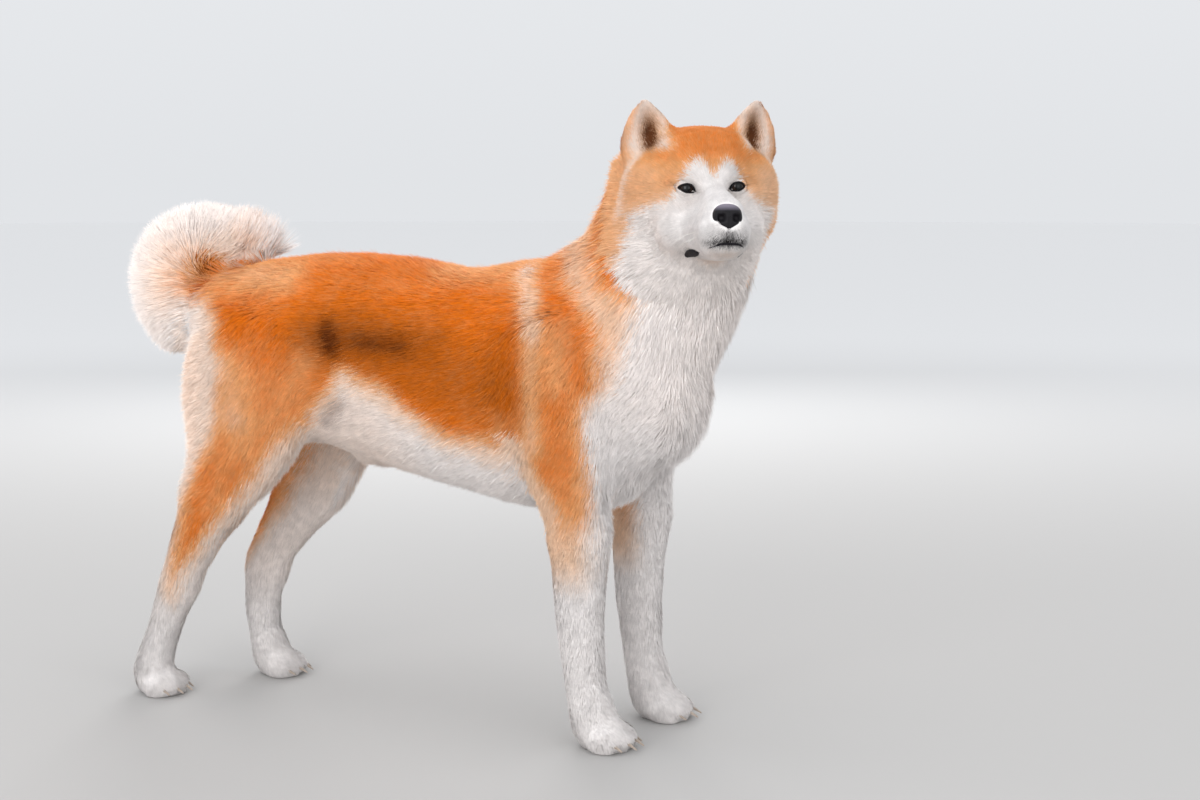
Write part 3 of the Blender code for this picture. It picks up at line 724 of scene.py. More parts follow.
# ---------------------------------------------------------------- the eye's opening
@dataclass
class EyeShape:
    """One eye's ball and the almond opening of its lids, in head coordinates."""

    head: HeadFrame
    side: Side
    radius: float = 0.0118
    apart: float = 0.034
    setback: float = -0.0095
    outward_turn: float = math.radians(12.0)
    lid_radius: float = 0.0135
    opening: tuple = (  # outward and up from the ball's middle
        (0.0100, 0.0009),
        (0.0056, 0.0041),
        (-0.0008, 0.0054),
        (-0.0062, 0.0034),
        (-0.0102, -0.0038),
        (-0.0052, -0.0049),
        (0.0004, -0.0046),
        (0.0060, -0.0024),
    )
    drift: tuple = (  # outward and up, on the left and on the right
        (0.0012, 0.0018),
        (-0.0024, -0.0006),
    )
    segments: int = 64

    def __post_init__(self) -> None:
        """Builds the eye's axes and the smooth outline of the opening."""
        sign = self.side.value
        c, s = math.cos(self.outward_turn), math.sin(self.outward_turn)
        out, up = self.drift[0 if self.side is Side.LEFT else 1]
        self.centre = np.array((self.setback, sign * (self.apart + out), up))
        self.axes = np.array(((c, sign * s, 0.0), (-s, sign * c, 0.0), (0.0, 0.0, 1.0)))
        smooth = along_curve(self.opening * 3, 12)[:-1]
        third = smooth[len(smooth) // 3 : 2 * len(smooth) // 3]
        angles = np.arctan2(third[:, 1], third[:, 0])
        order = np.argsort(angles)
        self.angles = angles[order]
        self.reach = np.linalg.norm(third, axis=1)[order]

    def local(self, points: np.ndarray) -> np.ndarray:
        """Head points as (forward, outward, up) from the ball's middle."""
        return (points - self.centre) @ self.axes.T

    def spread(self, local: np.ndarray) -> np.ndarray:
        """How far out a point lies: 1 on the edge of the opening, and more outside it."""
        angle = np.arctan2(local[:, 2], local[:, 1])
        edge = np.interp(angle, self.angles, self.reach, period=2 * math.pi)
        return np.linalg.norm(local[:, 1:], axis=1) / edge

    def lid_level(self, local: np.ndarray) -> np.ndarray:
        """How far forward the lids stand at a point."""
        flat = np.clip(self.lid_radius**2 - (local[:, 1:] ** 2).sum(axis=1), 1e-6, None)
        return np.sqrt(flat) - 0.0012

    def back(self, local: np.ndarray) -> np.ndarray:
        """Points from this eye's frame in head coordinates."""
        return local @ self.axes + self.centre

    def ring(self, spread: float, lift: float) -> np.ndarray:
        """A closed loop round the opening, in body coordinates.

        Args:
            spread: 1 on the edge of the opening.
            lift: How far ahead of the lids' level it stands.

        Returns:
            The loop's points.
        """
        turns = np.arange(self.segments) * 2 * math.pi / self.segments
        edge = np.interp(turns, self.angles, self.reach, period=2 * math.pi) * spread
        local = np.stack([0 * turns, np.cos(turns) * edge, np.sin(turns) * edge], axis=1)
        local[:, 0] = self.lid_level(local) + lift
        return self.head.outward(self.back(local))


@dataclass
class MouthShape:
    """The line of the lips, from the middle of the mouth to each corner, in head coordinates."""

    head: HeadFrame
    half_line: tuple = (
        (0.107, 0.000, -0.0728),
        (0.104, -0.013, -0.0732),
        (0.090, -0.022, -0.0780),
        (0.073, -0.026, -0.0842),
        (0.058, -0.030, -0.0862),
        (0.044, -0.034, -0.0882),
        (0.027, -0.0368, -0.0912),
        (0.007, -0.0390, -0.0945),
    )
    heights: tuple = (  # share of the way to the corner, and half the lip's height there
        (0.00, 0.0017),
        (0.18, 0.0014),
        (0.34, 0.0005),
        (0.56, 0.0005),
        (0.66, 0.0050),
        (0.80, 0.0068),
        (0.90, 0.0056),
        (0.97, 0.0034),
        (1.00, 0.0006),
    )

    def __post_init__(self) -> None:
        """Smooths the line and finds the lips' height along it."""
        half = np.array(self.half_line)
        rows = np.vstack([half[:0:-1] * (1, -1, 1), half])
        local = along_curve(rows, 10)
        steps = np.linalg.norm(np.diff(local, axis=0), axis=1)
        place = np.concatenate([[0], np.cumsum(steps)])
        share = np.abs(2 * place / place[-1] - 1)
        self.line = self.head.outward(local)
        self.height = np.interp(share, *np.array(self.heights).T)

    def bareness(self, points: np.ndarray) -> np.ndarray:
        """1 on the lips, where no hair grows, and 0 away from them."""
        away = np.full(len(points), 1.0)
        near = np.flatnonzero(np.linalg.norm(points - self.line.mean(axis=0), axis=1) < 0.12)
        gaps = np.linalg.norm(points[near, None, :] - self.line[None], axis=2)
        away[near] = (gaps - 1.2 * self.height + 0.0010).min(axis=1)
        return ramp(away, 0.0008, -0.0008)


# ---------------------------------------------------------------- the skin
FACE_MOVES = {  # the middle of each move, how far it reaches and the move, in head coordinates
    "brow": ((0.006, 0.024, 0.020), (0.016, 0.014, 0.012), (0.0015, 0.0, 0.0005)),
    "forehead furrow": ((0.000, 0.0, 0.045), (0.035, 0.007, 0.030), (-0.0018, 0.0, -0.0008)),
    "flews": ((0.078, 0.024, -0.058), (0.024, 0.014, 0.017), (0.0010, 0.0030, 0.0)),
    "chin": ((0.070, 0.0, -0.098), (0.022, 0.020, 0.010), (0.0, 0.0, -0.0010)),
    "side of the muzzle": ((0.050, 0.030, -0.030), (0.026, 0.012, 0.012), (0.0, -0.0015, 0.0)),
    "cleft of the lip": ((0.100, 0.0, -0.058), (0.014, 0.0022, 0.014), (-0.0022, 0.0, 0.0)),
    "hollow of the ear": ((-0.064, 0.073, 0.076), (0.012, 0.010, 0.024), (-0.0070, 0.0, 0.0)),
    "tip of the ear": ((-0.066, 0.090, 0.120), (0.030, 0.018, 0.016), (0.0, -0.0060, -0.0040)),
}


@dataclass
class Skin:
    """The one skin of the dog's flesh, a coat's depth inside the solids."""

    nodes: Nodes
    head: HeadFrame
    tail: TailLine
    eyes: list[EyeShape]
    mouth: MouthShape
    pad_centre: tuple = (0.0940, 0.0, -0.0400)
    pad_size: tuple = (0.0185, 0.0198, 0.0188)
    pad_drop: float = 0.27
    pad_drop_width: float = 0.0085
    lid_hair: float = 0.0055
    lid_depth: float = 0.0012
    voxel: float = 0.0056
    overlap: float = 0.0013
    inset_steps: int = 8
    sole: float = 0.0006
    filled: tuple = ("eye_left", "eye_right", "nose")
    surface: Surface = field(init=False)

    def __post_init__(self) -> None:
        """Sorts the nodes of flesh from the rest."""
        self.flesh = [
            name for name in self.nodes if name not in self.filled and "claw" not in name
        ]
        self.names = list(PILES)

    def build(self) -> bpy.types.Object:
        """Makes the skin and returns its object."""
        mesh = self.fused()
        self.surface = Surface(mesh)
        self.surface.relax(5)
        self.shell = self.tree()
        self.find_kinds()
        self.inset()
        self.refine(self.face_region)
        self.refine(self.feature_region)
        self.sculpt()
        self.find_kinds()
        self.measure()
        made = object_of(mesh, "akita_skin")
        self.unwrap(made)
        return made

    def fused(self) -> bpy.types.Mesh:
        """The flesh nodes, grown just enough to meet, as one closed mesh."""
        whole = bmesh.new()
        for name in self.flesh + list(self.filled):
            piece = bmesh.new()
            piece.from_mesh(self.nodes[name].data)
            bmesh.ops.remove_doubles(piece, verts=piece.verts, dist=1e-6)
            piece.normal_update()
            for vertex in piece.verts:
                vertex.co += vertex.normal * self.overlap
            pour(piece, whole)
        block = object_from(whole, "fusing")
        modifier = block.modifiers.new("fuse", "REMESH")
        modifier.mode = "VOXEL"
        modifier.voxel_size = self.voxel
        graph = bpy.context.evaluated_depsgraph_get()
        mesh = bpy.data.meshes.new_from_object(block.evaluated_get(graph))
        bpy.data.objects.remove(block)
        self.keep_outer_shell(mesh)
        return mesh

    @staticmethod
    def keep_outer_shell(mesh: bpy.types.Mesh) -> None:
        """Drops every loose shell but the largest."""
        bm = bmesh.new()
        bm.from_mesh(mesh)
        unseen = set(bm.verts)
        shells = []
        while unseen:
            shell, edge = set(), [unseen.pop()]
            while edge:
                vertex = edge.pop()
                shell.add(vertex)
                fresh = {e.other_vert(vertex) for e in vertex.link_edges} & unseen
                unseen -= fresh
                edge += fresh
            shells.append(shell)
        shells.sort(key=len)
        loose = [vertex for shell in shells[:-1] for vertex in shell]
        bmesh.ops.delete(bm, geom=loose, context="VERTS")
        for face in bm.faces:
            face.smooth = True
        bm.to_mesh(mesh)
        bm.free()

    def tree(self) -> BVHTree:
        """A search tree over the surface as it now lies."""
        surface = self.surface
        return BVHTree.FromPolygons(surface.points.tolist(), surface.triangles().tolist())

    def find_kinds(self) -> None:
        """Finds, for each point, the pile of the nearest node."""
        spots, owners = [], []
        for name in self.flesh:
            mesh = self.nodes[name].data
            spots.append(read_array(mesh.vertices, "co", 3))
            owners += [self.names.index(pile_of(name))] * len(mesh.vertices)
        spots = np.vstack(spots)
        tree = KDTree(len(spots))
        for index, spot in enumerate(spots):
            tree.insert(spot, index)
        tree.balance()
        nearest = [tree.find(point)[1] for point in self.surface.points]
        self.kinds = np.array(owners)[nearest]

    def among(self, kinds: np.ndarray, piles: tuple[str, ...]) -> np.ndarray:
        """Whether each of some piles' numbers stands for one of the named piles."""
        return np.isin(kinds, [self.names.index(pile) for pile in piles])

    def on(self, *piles: str) -> np.ndarray:
        """Whether each point belongs to one of these piles."""
        return self.among(self.kinds, piles)

    def pile_values(self, name: str) -> np.ndarray:
        """One value of each point's pile, such as its depth."""
        table = np.array([getattr(PILES[key], name) for key in self.names])
        return table[self.kinds]

    def head_zones(self) -> dict[str, np.ndarray]:
        """Soft masks of the cheeks, the nape and the muzzle."""
        local = self.head.inward(self.surface.points)
        u, v, w = local.T
        skull = self.on("head", "lower_jaw")
        muzzle = ramp(u, 0.000, 0.045)
        cheek = ramp(np.hypot(v, 0.6 * (w + 0.02)), 0.055, 0.085)
        cheek *= ramp(u, 0.02, -0.02) * ramp(w, 0.03, 0.0)
        nape = ramp(u, -0.075, -0.110)
        return {"cheek": cheek * skull, "nape": nape * skull, "muzzle": muzzle * skull}

    def shaped(self, name: str, **own: float) -> np.ndarray:
        """One value of each point's pile, with the head's zones worked in.

        Args:
            name: The value's name.
            own: The value that each zone of the head has instead.

        Returns:
            The value at each point.
        """
        values = self.pile_values(name)
        for zone, share in self.head_zones().items():
            values = mix(values, np.full(self.surface.count, own[zone]), share)
        return values

    def depths(self) -> np.ndarray:
        """The coat's depth at each point."""
        depth = self.shaped("depth", muzzle=0.0022, cheek=0.0150, nape=0.0200)
        x, _, z = self.surface.points.T
        tip = self.tail.from_tip(self.surface.points)
        depth = np.where(self.on("tail"), np.minimum(depth, 0.010 + 0.32 * tip), depth)
        breeches = self.on("thigh") & (x < -0.27)
        depth = np.where(breeches, depth + 0.010 * ramp(x, -0.27, -0.36), depth)
        return self.surface.diffuse(depth, 30) * ramp(z, 0.001, 0.010)

    def inset(self) -> None:
        """Moves the skin in by the coat's depth."""
        surface = self.surface
        depth = self.depths()
        soft = ramp(depth, 0.006, 0.020)
        for _ in range(self.inset_steps):
            normals = surface.normals()
            normals = mix(normals, unit(surface.diffuse(normals, 6)), soft)
            surface.points -= normals * (depth / self.inset_steps)[:, None]
            pull = surface.around(surface.points) - surface.points
            surface.points += 0.35 * soft[:, None] * pull
        surface.relax(3)
        surface.points[:, 2] = np.maximum(surface.points[:, 2], self.sole)
        surface.store()

    @staticmethod
    def face_region(point: np.ndarray) -> bool:
        """Whether a head point lies on the face, which needs finer faces."""
        return point[0] > -0.045 and abs(point[1]) < 0.085 and -0.11 < point[2] < 0.075

    @staticmethod
    def feature_region(point: np.ndarray) -> bool:
        """Whether a head point lies by an eye or on the muzzle."""
        if point[0] > 0.035:
            return True
        return point[0] > -0.03 and abs(abs(point[1]) - 0.034) < 0.026 and abs(point[2]) < 0.022

    def refine(self, region: Callable[[np.ndarray], bool]) -> None:
        """Divides the faces of a region, which says of a head point whether it lies inside."""
        mesh = self.surface.mesh
        self.surface.store()
        local = self.head.inward(self.surface.points)
        near = np.abs(local).max(axis=1) < 0.14
        bm = bmesh.new()
        bm.from_mesh(mesh)
        bm.verts.ensure_lookup_table()
        chosen = {bm.verts[k] for k in np.flatnonzero(near) if region(local[k])}
        edges = [edge for edge in bm.edges if edge.verts[0] in chosen and edge.verts[1] in chosen]
        bmesh.ops.subdivide_edges(bm, edges=edges, cuts=1, use_grid_fill=True, smooth=0.0)
        bmesh.ops.triangulate(bm, faces=[face for face in bm.faces if len(face.verts) > 4])
        for face in bm.faces:
            face.smooth = True
        bm.to_mesh(mesh)
        bm.free()
        self.surface = Surface(mesh)
        local = self.head.inward(self.surface.points)
        inside = (local[:, 0] > -0.05) & (np.abs(local).max(axis=1) < 0.14)
        self.surface.relax(2, inside.astype(float))
        self.surface.store()

    def push(self, centre: tuple, radii: tuple, move: tuple) -> None:
        """Moves the skin near a head point, and on both sides if it is off the middle.

        Args:
            centre: The middle of the move.
            radii: How far it reaches on each axis.
            move: The move at its middle.
        """
        local = self.head.inward(self.surface.points)
        for sign in (1, -1) if centre[1] else (1,):
            flip = np.array((1, sign, 1))
            weight = blob(local * flip, centre, radii)
            self.surface.points += self.head.direction(weight[:, None] * np.array(move) * flip)

    def sculpt(self) -> None:
        """Gives the head its brows, lips and lids."""
        for move in FACE_MOVES.values():
            self.push(*move)
        for eye in self.eyes:
            self.set_lids(eye)
        self.seat_nose()
        self.surface.store()

    def from_pad(self, local: np.ndarray) -> np.ndarray:
        """How far head points lie from the nose leather's middle: 1 on its edge."""
        away = (local - np.array(self.pad_centre)) / np.array(self.pad_size)
        drop = 1 + self.pad_drop * np.exp(-((local[:, 1] / self.pad_drop_width) ** 2))
        away[:, 2] /= np.where(away[:, 2] < 0, drop, 1.0)
        return np.linalg.norm(away, axis=1)

    def seat_nose(self) -> None:
        """Sinks the skin behind the nose leather."""
        local = self.head.inward(self.surface.points)
        inside = ramp(self.from_pad(local), 1.03, 0.80)
        ahead = local[:, 0] > self.pad_centre[0] - 0.010
        floor = np.minimum(local[:, 0], self.pad_centre[0] - 0.006)
        local[:, 0] = np.where(ahead, mix(local[:, 0], floor, inside), local[:, 0])
        self.surface.points = self.head.outward(local)

    def set_lids(self, eye: EyeShape) -> None:
        """Fits the skin to one eye's lids and sinks it behind the ball inside the opening."""
        local = eye.local(self.head.inward(self.surface.points))
        spread = eye.spread(local)
        near = (local[:, 0] > -0.004) & (np.linalg.norm(local[:, 1:], axis=1) < 0.034)
        level = eye.lid_level(local) - 0.0004
        hug = ramp(spread, 2.6, 1.15)
        target = mix(local[:, 0], level, hug)
        sunk = np.sqrt(np.clip(eye.radius**2 - (local[:, 1:] ** 2).sum(axis=1), 0, None)) - 0.0040
        target = mix(target, sunk, ramp(spread, 1.12, 0.95))
        local[:, 0] = np.where(near, target, local[:, 0])
        moved = self.head.outward(eye.back(local))
        self.surface.points = np.where(near[:, None], moved, self.surface.points)

    def measure(self) -> None:
        """Finds the coat's size and lie at every point of the finished skin."""
        surface = self.surface
        self.normal = surface.normals()
        self.soft_normal = unit(surface.diffuse(self.normal, 4))
        nominal = self.depths()
        reach = np.array([self.shell.find_nearest(point)[3] for point in surface.points])
        reach -= self.overlap
        self.depth = surface.diffuse(np.clip(reach, 0.5 * nominal, 2.4 * nominal + 0.001), 2)
        rounds = 12
        length = self.shaped("length", muzzle=0.008, cheek=0.024, nape=0.032)
        width = self.shaped("width", muzzle=0.0007, cheek=0.0009, nape=0.0011)
        self.length = surface.diffuse(length, rounds)
        self.width = surface.diffuse(width, rounds)
        self.cover = surface.diffuse(self.pile_values("cover"), rounds)
        self.lie = self.find_lie()
        self.clear_face()
        self.lie = unit(flattened(self.lie, self.normal))
        self.lift_plume()

    def clear_face(self) -> None:
        """Shortens the hair round the eyes, and bares lids, nose, lips and soles."""
        surface, local = self.surface, self.head.inward(self.surface.points)
        self.bare = np.zeros(surface.count)
        for eye in self.eyes:
            spot = eye.local(local)
            spread = eye.spread(spot)
            close = (np.linalg.norm(spot, axis=1) < 0.035).astype(float)
            lid = ramp(spread, 2.6, 1.4) * close
            away = unit(self.head.direction(eye.back(spot * (0, 1, 1)) - eye.centre))
            self.lie = unit(mix(self.lie, away, 0.45 * lid))
            self.length = mix(self.length, np.full(surface.count, self.lid_hair), lid)
            self.depth = mix(self.depth, np.full(surface.count, self.lid_depth), lid)
            self.bare = np.maximum(self.bare, ramp(spread, 1.34, 1.22) * close)
        nose = ramp(self.from_pad(local), 1.12, 1.02) * (local[:, 0] > 0.080)
        soles = ramp(surface.points[:, 2], 0.0045, 0.0015)
        for bare in (nose, self.mouth.bareness(surface.points), soles):
            self.bare = np.maximum(self.bare, bare)
        self.length = self.length * (1 - 0.45 * ramp(local[:, 2], 0.095, 0.118) * self.on("ear"))

    def lift_plume(self) -> None:
        """Finds where the tail's hair stands up and how long it is at the root and the tip."""
        surface, plume = self.surface, self.on("tail").astype(float)
        spoke, _ = self.tail.spokes(surface.points)
        outward = np.clip((spoke * self.normal).sum(axis=1), 0, 1)
        self.stand = surface.diffuse(plume * outward**2, 3)
        self.lift = surface.diffuse(plume * np.clip(0.35 + self.stand + self.near_tip(), 0, 1), 3)
        self.length = self.length * (1 - 0.35 * self.stand) * (1 + 0.55 * self.tail_root())
        self.length = self.length * (1 + 0.25 * self.near_tip() * plume)

    def near_tip(self) -> np.ndarray:
        """1 at the tip of the tail, fading out along it."""
        return ramp(self.tail.from_tip(self.surface.points), 0.095, 0.055)

    def tail_root(self) -> np.ndarray:
        """1 where the rump's hair runs out over the root of the tail."""
        x, _, z = self.surface.points.T
        return self.on("rump") * ramp(x, -0.262, -0.300) * ramp(z, 0.585, 0.605)

    def find_lie(self) -> np.ndarray:
        """The way the coat lies at every point, before it is laid flat on the skin."""
        surface = self.surface
        lie = unit(self.pile_values("lie"))
        local = self.head.inward(surface.points)
        from_nose = unit(local - (0.125, 0.0, -0.040))
        from_nose[:, 2] -= 0.25 * ramp(local[:, 2], 0.0, -0.06)
        from_nose = self.head.direction(unit(from_nose))
        lie = np.where(self.on("head", "lower_jaw")[:, None], from_nose, lie)
        sign = np.sign(local[:, 1])
        upward = np.stack([0 * sign - 0.1, 0.2 * sign, 0 * sign + 1.0], axis=1)
        upward = self.head.direction(upward)
        lie = np.where(self.on("ear")[:, None], upward, lie)
        plume = self.on("tail")
        spoke, reach = self.tail.spokes(surface.points)
        lie = np.where(plume[:, None], unit(spoke + 0.40 * self.tail.way_by(surface.points)), lie)
        x, y, z = surface.points.T
        base = ramp(x, -0.425, -0.390) * ramp(z, 0.652, 0.636) * ramp(y, 0.055, 0.025)
        for way, share in (
            ((0.80, 0.0, 0.30), ramp(reach, 0.030, 0.014) * plume),
            ((0.30, 0.0, 0.95), self.near_tip() * plume),
            ((-1.0, -0.25, 0.02), base * plume),
            ((-1.0, -0.35, 0.16), self.tail_root()),
        ):
            lie = unit(mix(lie, np.tile(unit(np.array(way)), (surface.count, 1)), share))
        hold = np.where(self.on("fore_paw", "hind_paw"), 0.5, 0.8)[:, None]
        for _ in range(14):
            lie = unit(flattened(0.5 * lie + 0.5 * surface.around(lie), self.normal, hold))
        return lie

    def unwrap(self, made: bpy.types.Object) -> None:
        """Gives the skin its bake map, an unwrap of its own shape."""
        layer = made.data.uv_layers.new(name=BAKE_MAP)
        made.data.uv_layers.active = layer
        bpy.context.view_layer.objects.active = made
        made.select_set(True)
        bpy.ops.object.mode_set(mode="EDIT")
        bpy.ops.mesh.select_all(action="SELECT")
        bpy.ops.uv.smart_project(angle_limit=math.radians(66), island_margin=0.001)
        bpy.ops.object.mode_set(mode="OBJECT")
        made.select_set(False)


# ---------------------------------------------------------------- the coat
@dataclass
class Coat:
    """The coat, as many joined meshes of thin tapered tufts."""

    skin: Skin
    markings: Markings
    total: int = 740_000
    piece_tufts: int = 95_000
    bake_patch: float = 0.003
    sunk: float = 0.0012
    shares: tuple = (0.0, 0.40, 1.0)
    seen_at: float = 0.70
    skyward: tuple = (0.0, -0.25, 0.55)

    def grow(self) -> list[bpy.types.Object]:
        """Grows the whole coat and returns its pieces."""
        skin = self.skin
        draw = np.random.default_rng(7)
        triangles = skin.surface.triangles()
        loops = skin.surface.triangle_loops()
        corners = skin.surface.points[triangles]
        cross = np.cross(corners[:, 1] - corners[:, 0], corners[:, 2] - corners[:, 0])
        area = np.linalg.norm(cross, axis=1) / 2
        cover, length, width, bare = (
            getattr(skin, key)[triangles].mean(axis=1)
            for key in ("cover", "length", "width", "bare")
        )
        density = cover / (0.5 * length * width) * (1 - bare)
        total = self.total
        LOG.info("coat: %d tufts wanted, %d grown", (area * density).sum(), total)
        chance = np.cumsum(area * density)
        index = np.searchsorted(chance, draw.uniform(0, chance[-1], total))
        a, b = draw.uniform(size=(2, total))
        over = a + b > 1
        a[over], b[over] = 1 - a[over], 1 - b[over]
        weights = np.stack([1 - a - b, a, b], axis=1)

        def blend(values: np.ndarray) -> np.ndarray:
            """The skin's values at the tufts' roots."""
            picked = values[triangles[index]]
            shares = weights.reshape(picked.shape[:2] + (1,) * (picked.ndim - 2))
            return (picked * shares).sum(axis=1)

        uv = read_array(skin.surface.mesh.uv_layers[BAKE_MAP].data, "uv", 2, np.float32)
        uv = (uv[loops[index]] * weights[:, :, None]).sum(axis=1)
        tufts = {
            "root": blend(skin.surface.points),
            "normal": unit(blend(skin.soft_normal)),
            "lie": unit(blend(skin.lie)),
            "uv": uv,
            "kind": skin.kinds[triangles[index, 0]],
        }
        for key in ("length", "depth", "width", "stand", "lift"):
            tufts[key] = blend(getattr(skin, key))
        self.shape(tufts, draw)
        self.mark(tufts)
        return self.pieces(tufts)

    def shape(self, tufts: dict[str, np.ndarray], draw: np.random.Generator) -> None:
        """Finds each tuft's bent line and its width."""
        root, normal, lie = tufts["root"], tufts["normal"], tufts["lie"]
        total = len(root)
        turn = 0.12 * waves(root, 0.07, 11) + draw.normal(0, 0.13, total)
        lie = unit(flattened(lie, normal))
        aside = np.cross(normal, lie)
        lie = lie * np.cos(turn)[:, None] + aside * np.sin(turn)[:, None]
        stature = np.clip(draw.normal(0.93, 0.08, total), 0.60, 1.04)
        stray = 0.03 + 0.14 * tufts["stand"]
        stature += (draw.uniform(size=total) < stray) * draw.uniform(0.05, 0.34, total)
        high = tufts["depth"] * stature + self.sunk
        length = tufts["length"] * draw.uniform(0.80, 1.12, total)
        run = np.sqrt(np.maximum(length**2 - high**2, (0.35 * length) ** 2))
        tufts["high"], tufts["run"], tufts["lie"] = high, run, lie
        gather = flattened(self.locks(tufts, draw) - root, normal)
        loose = 0.10 + 0.45 * ramp(tufts["length"], 0.026, 0.042)
        tufts["gather"] = gather * (loose * draw.uniform(0.3, 1.0, total))[:, None]
        tufts["roll"] = draw.normal(0, 0.30, total)
        tone = 0.40 + 0.15 * draw.normal(size=total) + 0.26 * (tufts["lock_tone"] - 0.5)
        # Painted light: the tone is raised where the coat is deep and on the tail's plume, to
        # offset the shade among the tufts. The short-coat and face terms make those places darker.
        deep, short = ramp(tufts["depth"], 0.009, 0.026), ramp(tufts["depth"], 0.008, 0.002)
        face = self.skin.among(tufts["kind"], ("head", "lower_jaw"))
        tone = tone + 0.34 * deep - 0.26 * short - 0.13 * face + 0.06 * tufts["lift"]
        tufts["tone"] = np.clip(tone, 0, 1)

    def locks(self, tufts: dict[str, np.ndarray], draw: np.random.Generator) -> np.ndarray:
        """Gathers the tufts into locks and returns the middle of each tuft's lock."""
        root = tufts["root"]
        total = len(root)
        count = max(1, total // 10)
        seeds = draw.choice(total, count, replace=False)
        tree = KDTree(count)
        for index, seed in enumerate(seeds):
            tree.insert(root[seed], index)
        tree.balance()
        mine = np.array([tree.find(point)[1] for point in root])
        tone = draw.uniform(size=count)
        tufts["lock_tone"] = tone[mine]
        stance = draw.normal(1.0, 0.035, count)
        tufts["high"] = tufts["high"] * np.clip(stance[mine], 0.9, 1.06)
        return root[seeds[mine]]

    def mark(self, tufts: dict[str, np.ndarray]) -> None:
        """Finds each tuft's markings where it shows. On the tail they change along the tuft."""
        middle = tufts["root"] + tufts["normal"] * tufts["high"][:, None]
        middle += tufts["lie"] * self.seen_at * tufts["run"][:, None]
        plume = self.skin.among(tufts["kind"], ("tail",))
        draw = np.random.default_rng(17)
        spread = 0.0012 + 0.12 * tufts["length"][:, None]
        middle = middle + draw.normal(size=middle.shape) * spread
        vary = 1 + 0.20 * (tufts["lock_tone"] - 0.5) + draw.normal(0, 0.04, len(middle))
        for row, share in enumerate(self.shares):
            along = tufts["lie"] * ((share - self.seen_at) * tufts["run"])[:, None]
            along += tufts["normal"] * ((share - 1) * tufts["high"])[:, None]
            seen = middle + along * plume[:, None]
            for key, values in self.markings.at(seen, tufts["kind"], self.skin.names).items():
                tufts[f"{key}_{row}"] = values * vary if key == "red" else values

    def pieces(self, tufts: dict[str, np.ndarray]) -> list[bpy.types.Object]:
        """Cuts the coat into pieces by part of the body and builds each one."""
        parts = {
            "coat_head": (("head", "lower_jaw", "ear"), "red_coat"),
            "coat_neck": (("neck",), "red_coat"),
            "coat_trunk": (("chest", "loin", "rump"), "red_coat"),
            "coat_fore_legs": (("upper_arm", "forearm", "fore_paw"), "white_coat"),
            "coat_hind_legs": (("thigh", "lower_thigh", "hock", "hind_paw"), "white_coat"),
            "coat_tail": (("tail",), "cream_coat"),
        }
        made = []
        for name, (kinds, slot) in parts.items():
            chosen = np.flatnonzero(self.skin.among(tufts["kind"], kinds))
            chosen = chosen[np.argsort(tufts["root"][chosen, 0], kind="stable")]
            count = math.ceil(len(chosen) / self.piece_tufts)
            for number, share in enumerate(np.array_split(chosen, count)):
                label = name if count == 1 else f"{name}_{number + 1}"
                picked = {key: values[share] for key, values in tufts.items()}
                piece = self.build_piece(label, picked)
                made.append(piece)
        return made

    def build_piece(self, name: str, tufts: dict[str, np.ndarray]) -> bpy.types.Object:
        """Builds one piece of the coat.

        Args:
            name: The piece's name.
            tufts: The tufts' arrays.

        Returns:
            The piece, without its material.
        """
        root, normal, lie = tufts["root"], tufts["normal"], tufts["lie"]
        count = len(root)
        aside = np.cross(lie, normal)
        level = self.skin.sole + 0.0002
        rows = []
        bend = (2.0 - 0.8 * tufts["stand"])[:, None]
        for share in self.shares:
            rise = 1 - (1 - share) ** bend
            point = root - normal * self.sunk + lie * (tufts["run"] * share)[:, None]
            point += normal * tufts["high"][:, None] * rise + tufts["gather"] * share**1.4
            point[:, 2] = np.maximum(point[:, 2], level)
            rows.append(point)
        roll = tufts["roll"][:, None]
        across = unit(aside * np.cos(roll) + normal * np.sin(roll))
        half = 0.5 * tufts["width"][:, None]
        along = unit(rows[2] - rows[1])
        upright = ramp((along * normal).sum(axis=1), 0.45, 0.85)
        upright = np.maximum(upright, ramp(tufts["lift"], 0.80, 0.95))[:, None]
        lift = tufts["lift"][:, None] * ramp(np.abs(along[:, 2]), 0.75, 0.35)[:, None]
        risen = np.maximum(normal, (-1.0, -1.0, 0.05))
        level_off = np.where((tufts["lift"] > 0)[:, None], risen, normal)
        turned = unit(level_off * (1 - 0.55 * lift) + lift * self.skyward) * 0.9
        flat = turned * (1 - 0.8 * upright) + (0.14 + 0.8 * upright) * np.cross(across, along)
        flat = unit(flat)
        root_row, middle_row, tip_row = rows
        edges = (middle_row - across * half, middle_row + across * half)
        points = np.stack([root_row, *edges, tip_row], axis=1)
        bends = (0 * across, -0.25 * across, 0.25 * across, 0.15 * lie)
        facing = np.stack([unit(flat + bent) for bent in bends], axis=1)
        corners = np.array(((0, 2, 1), (1, 2, 3)))
        faces = (corners[None] + 4 * np.arange(count)[:, None, None]).reshape(-1, 3)
        mesh = bpy.data.meshes.new(name)
        mesh.vertices.add(count * 4)
        mesh.vertices.foreach_set("co", points.ravel())
        mesh.loops.add(faces.size)
        mesh.loops.foreach_set("vertex_index", faces.ravel().astype(np.int32))
        mesh.polygons.add(len(faces))
        mesh.polygons.foreach_set("loop_start", np.arange(0, faces.size, 3, dtype=np.int32))
        mesh.update(calc_edges=True)
        mesh.polygons.foreach_set("use_smooth", np.ones(len(faces), bool))
        patch = self.bake_patch
        place = np.array(((0.0, 0.0), (-0.5, 0.45), (0.5, 0.45), (0.0, 1.0))) * patch
        uv = (tufts["uv"][:, None, :] + place[None]).reshape(-1, 2)[faces.ravel()]
        layer = mesh.uv_layers.new(name=BAKE_MAP)
        layer.data.foreach_set("uv", np.clip(uv, 0, 1).astype(np.float32).ravel())
        for key in MASKS:
            values = [tufts[f"{key}_{row}"] for row in (0, 1, 1, 2)]
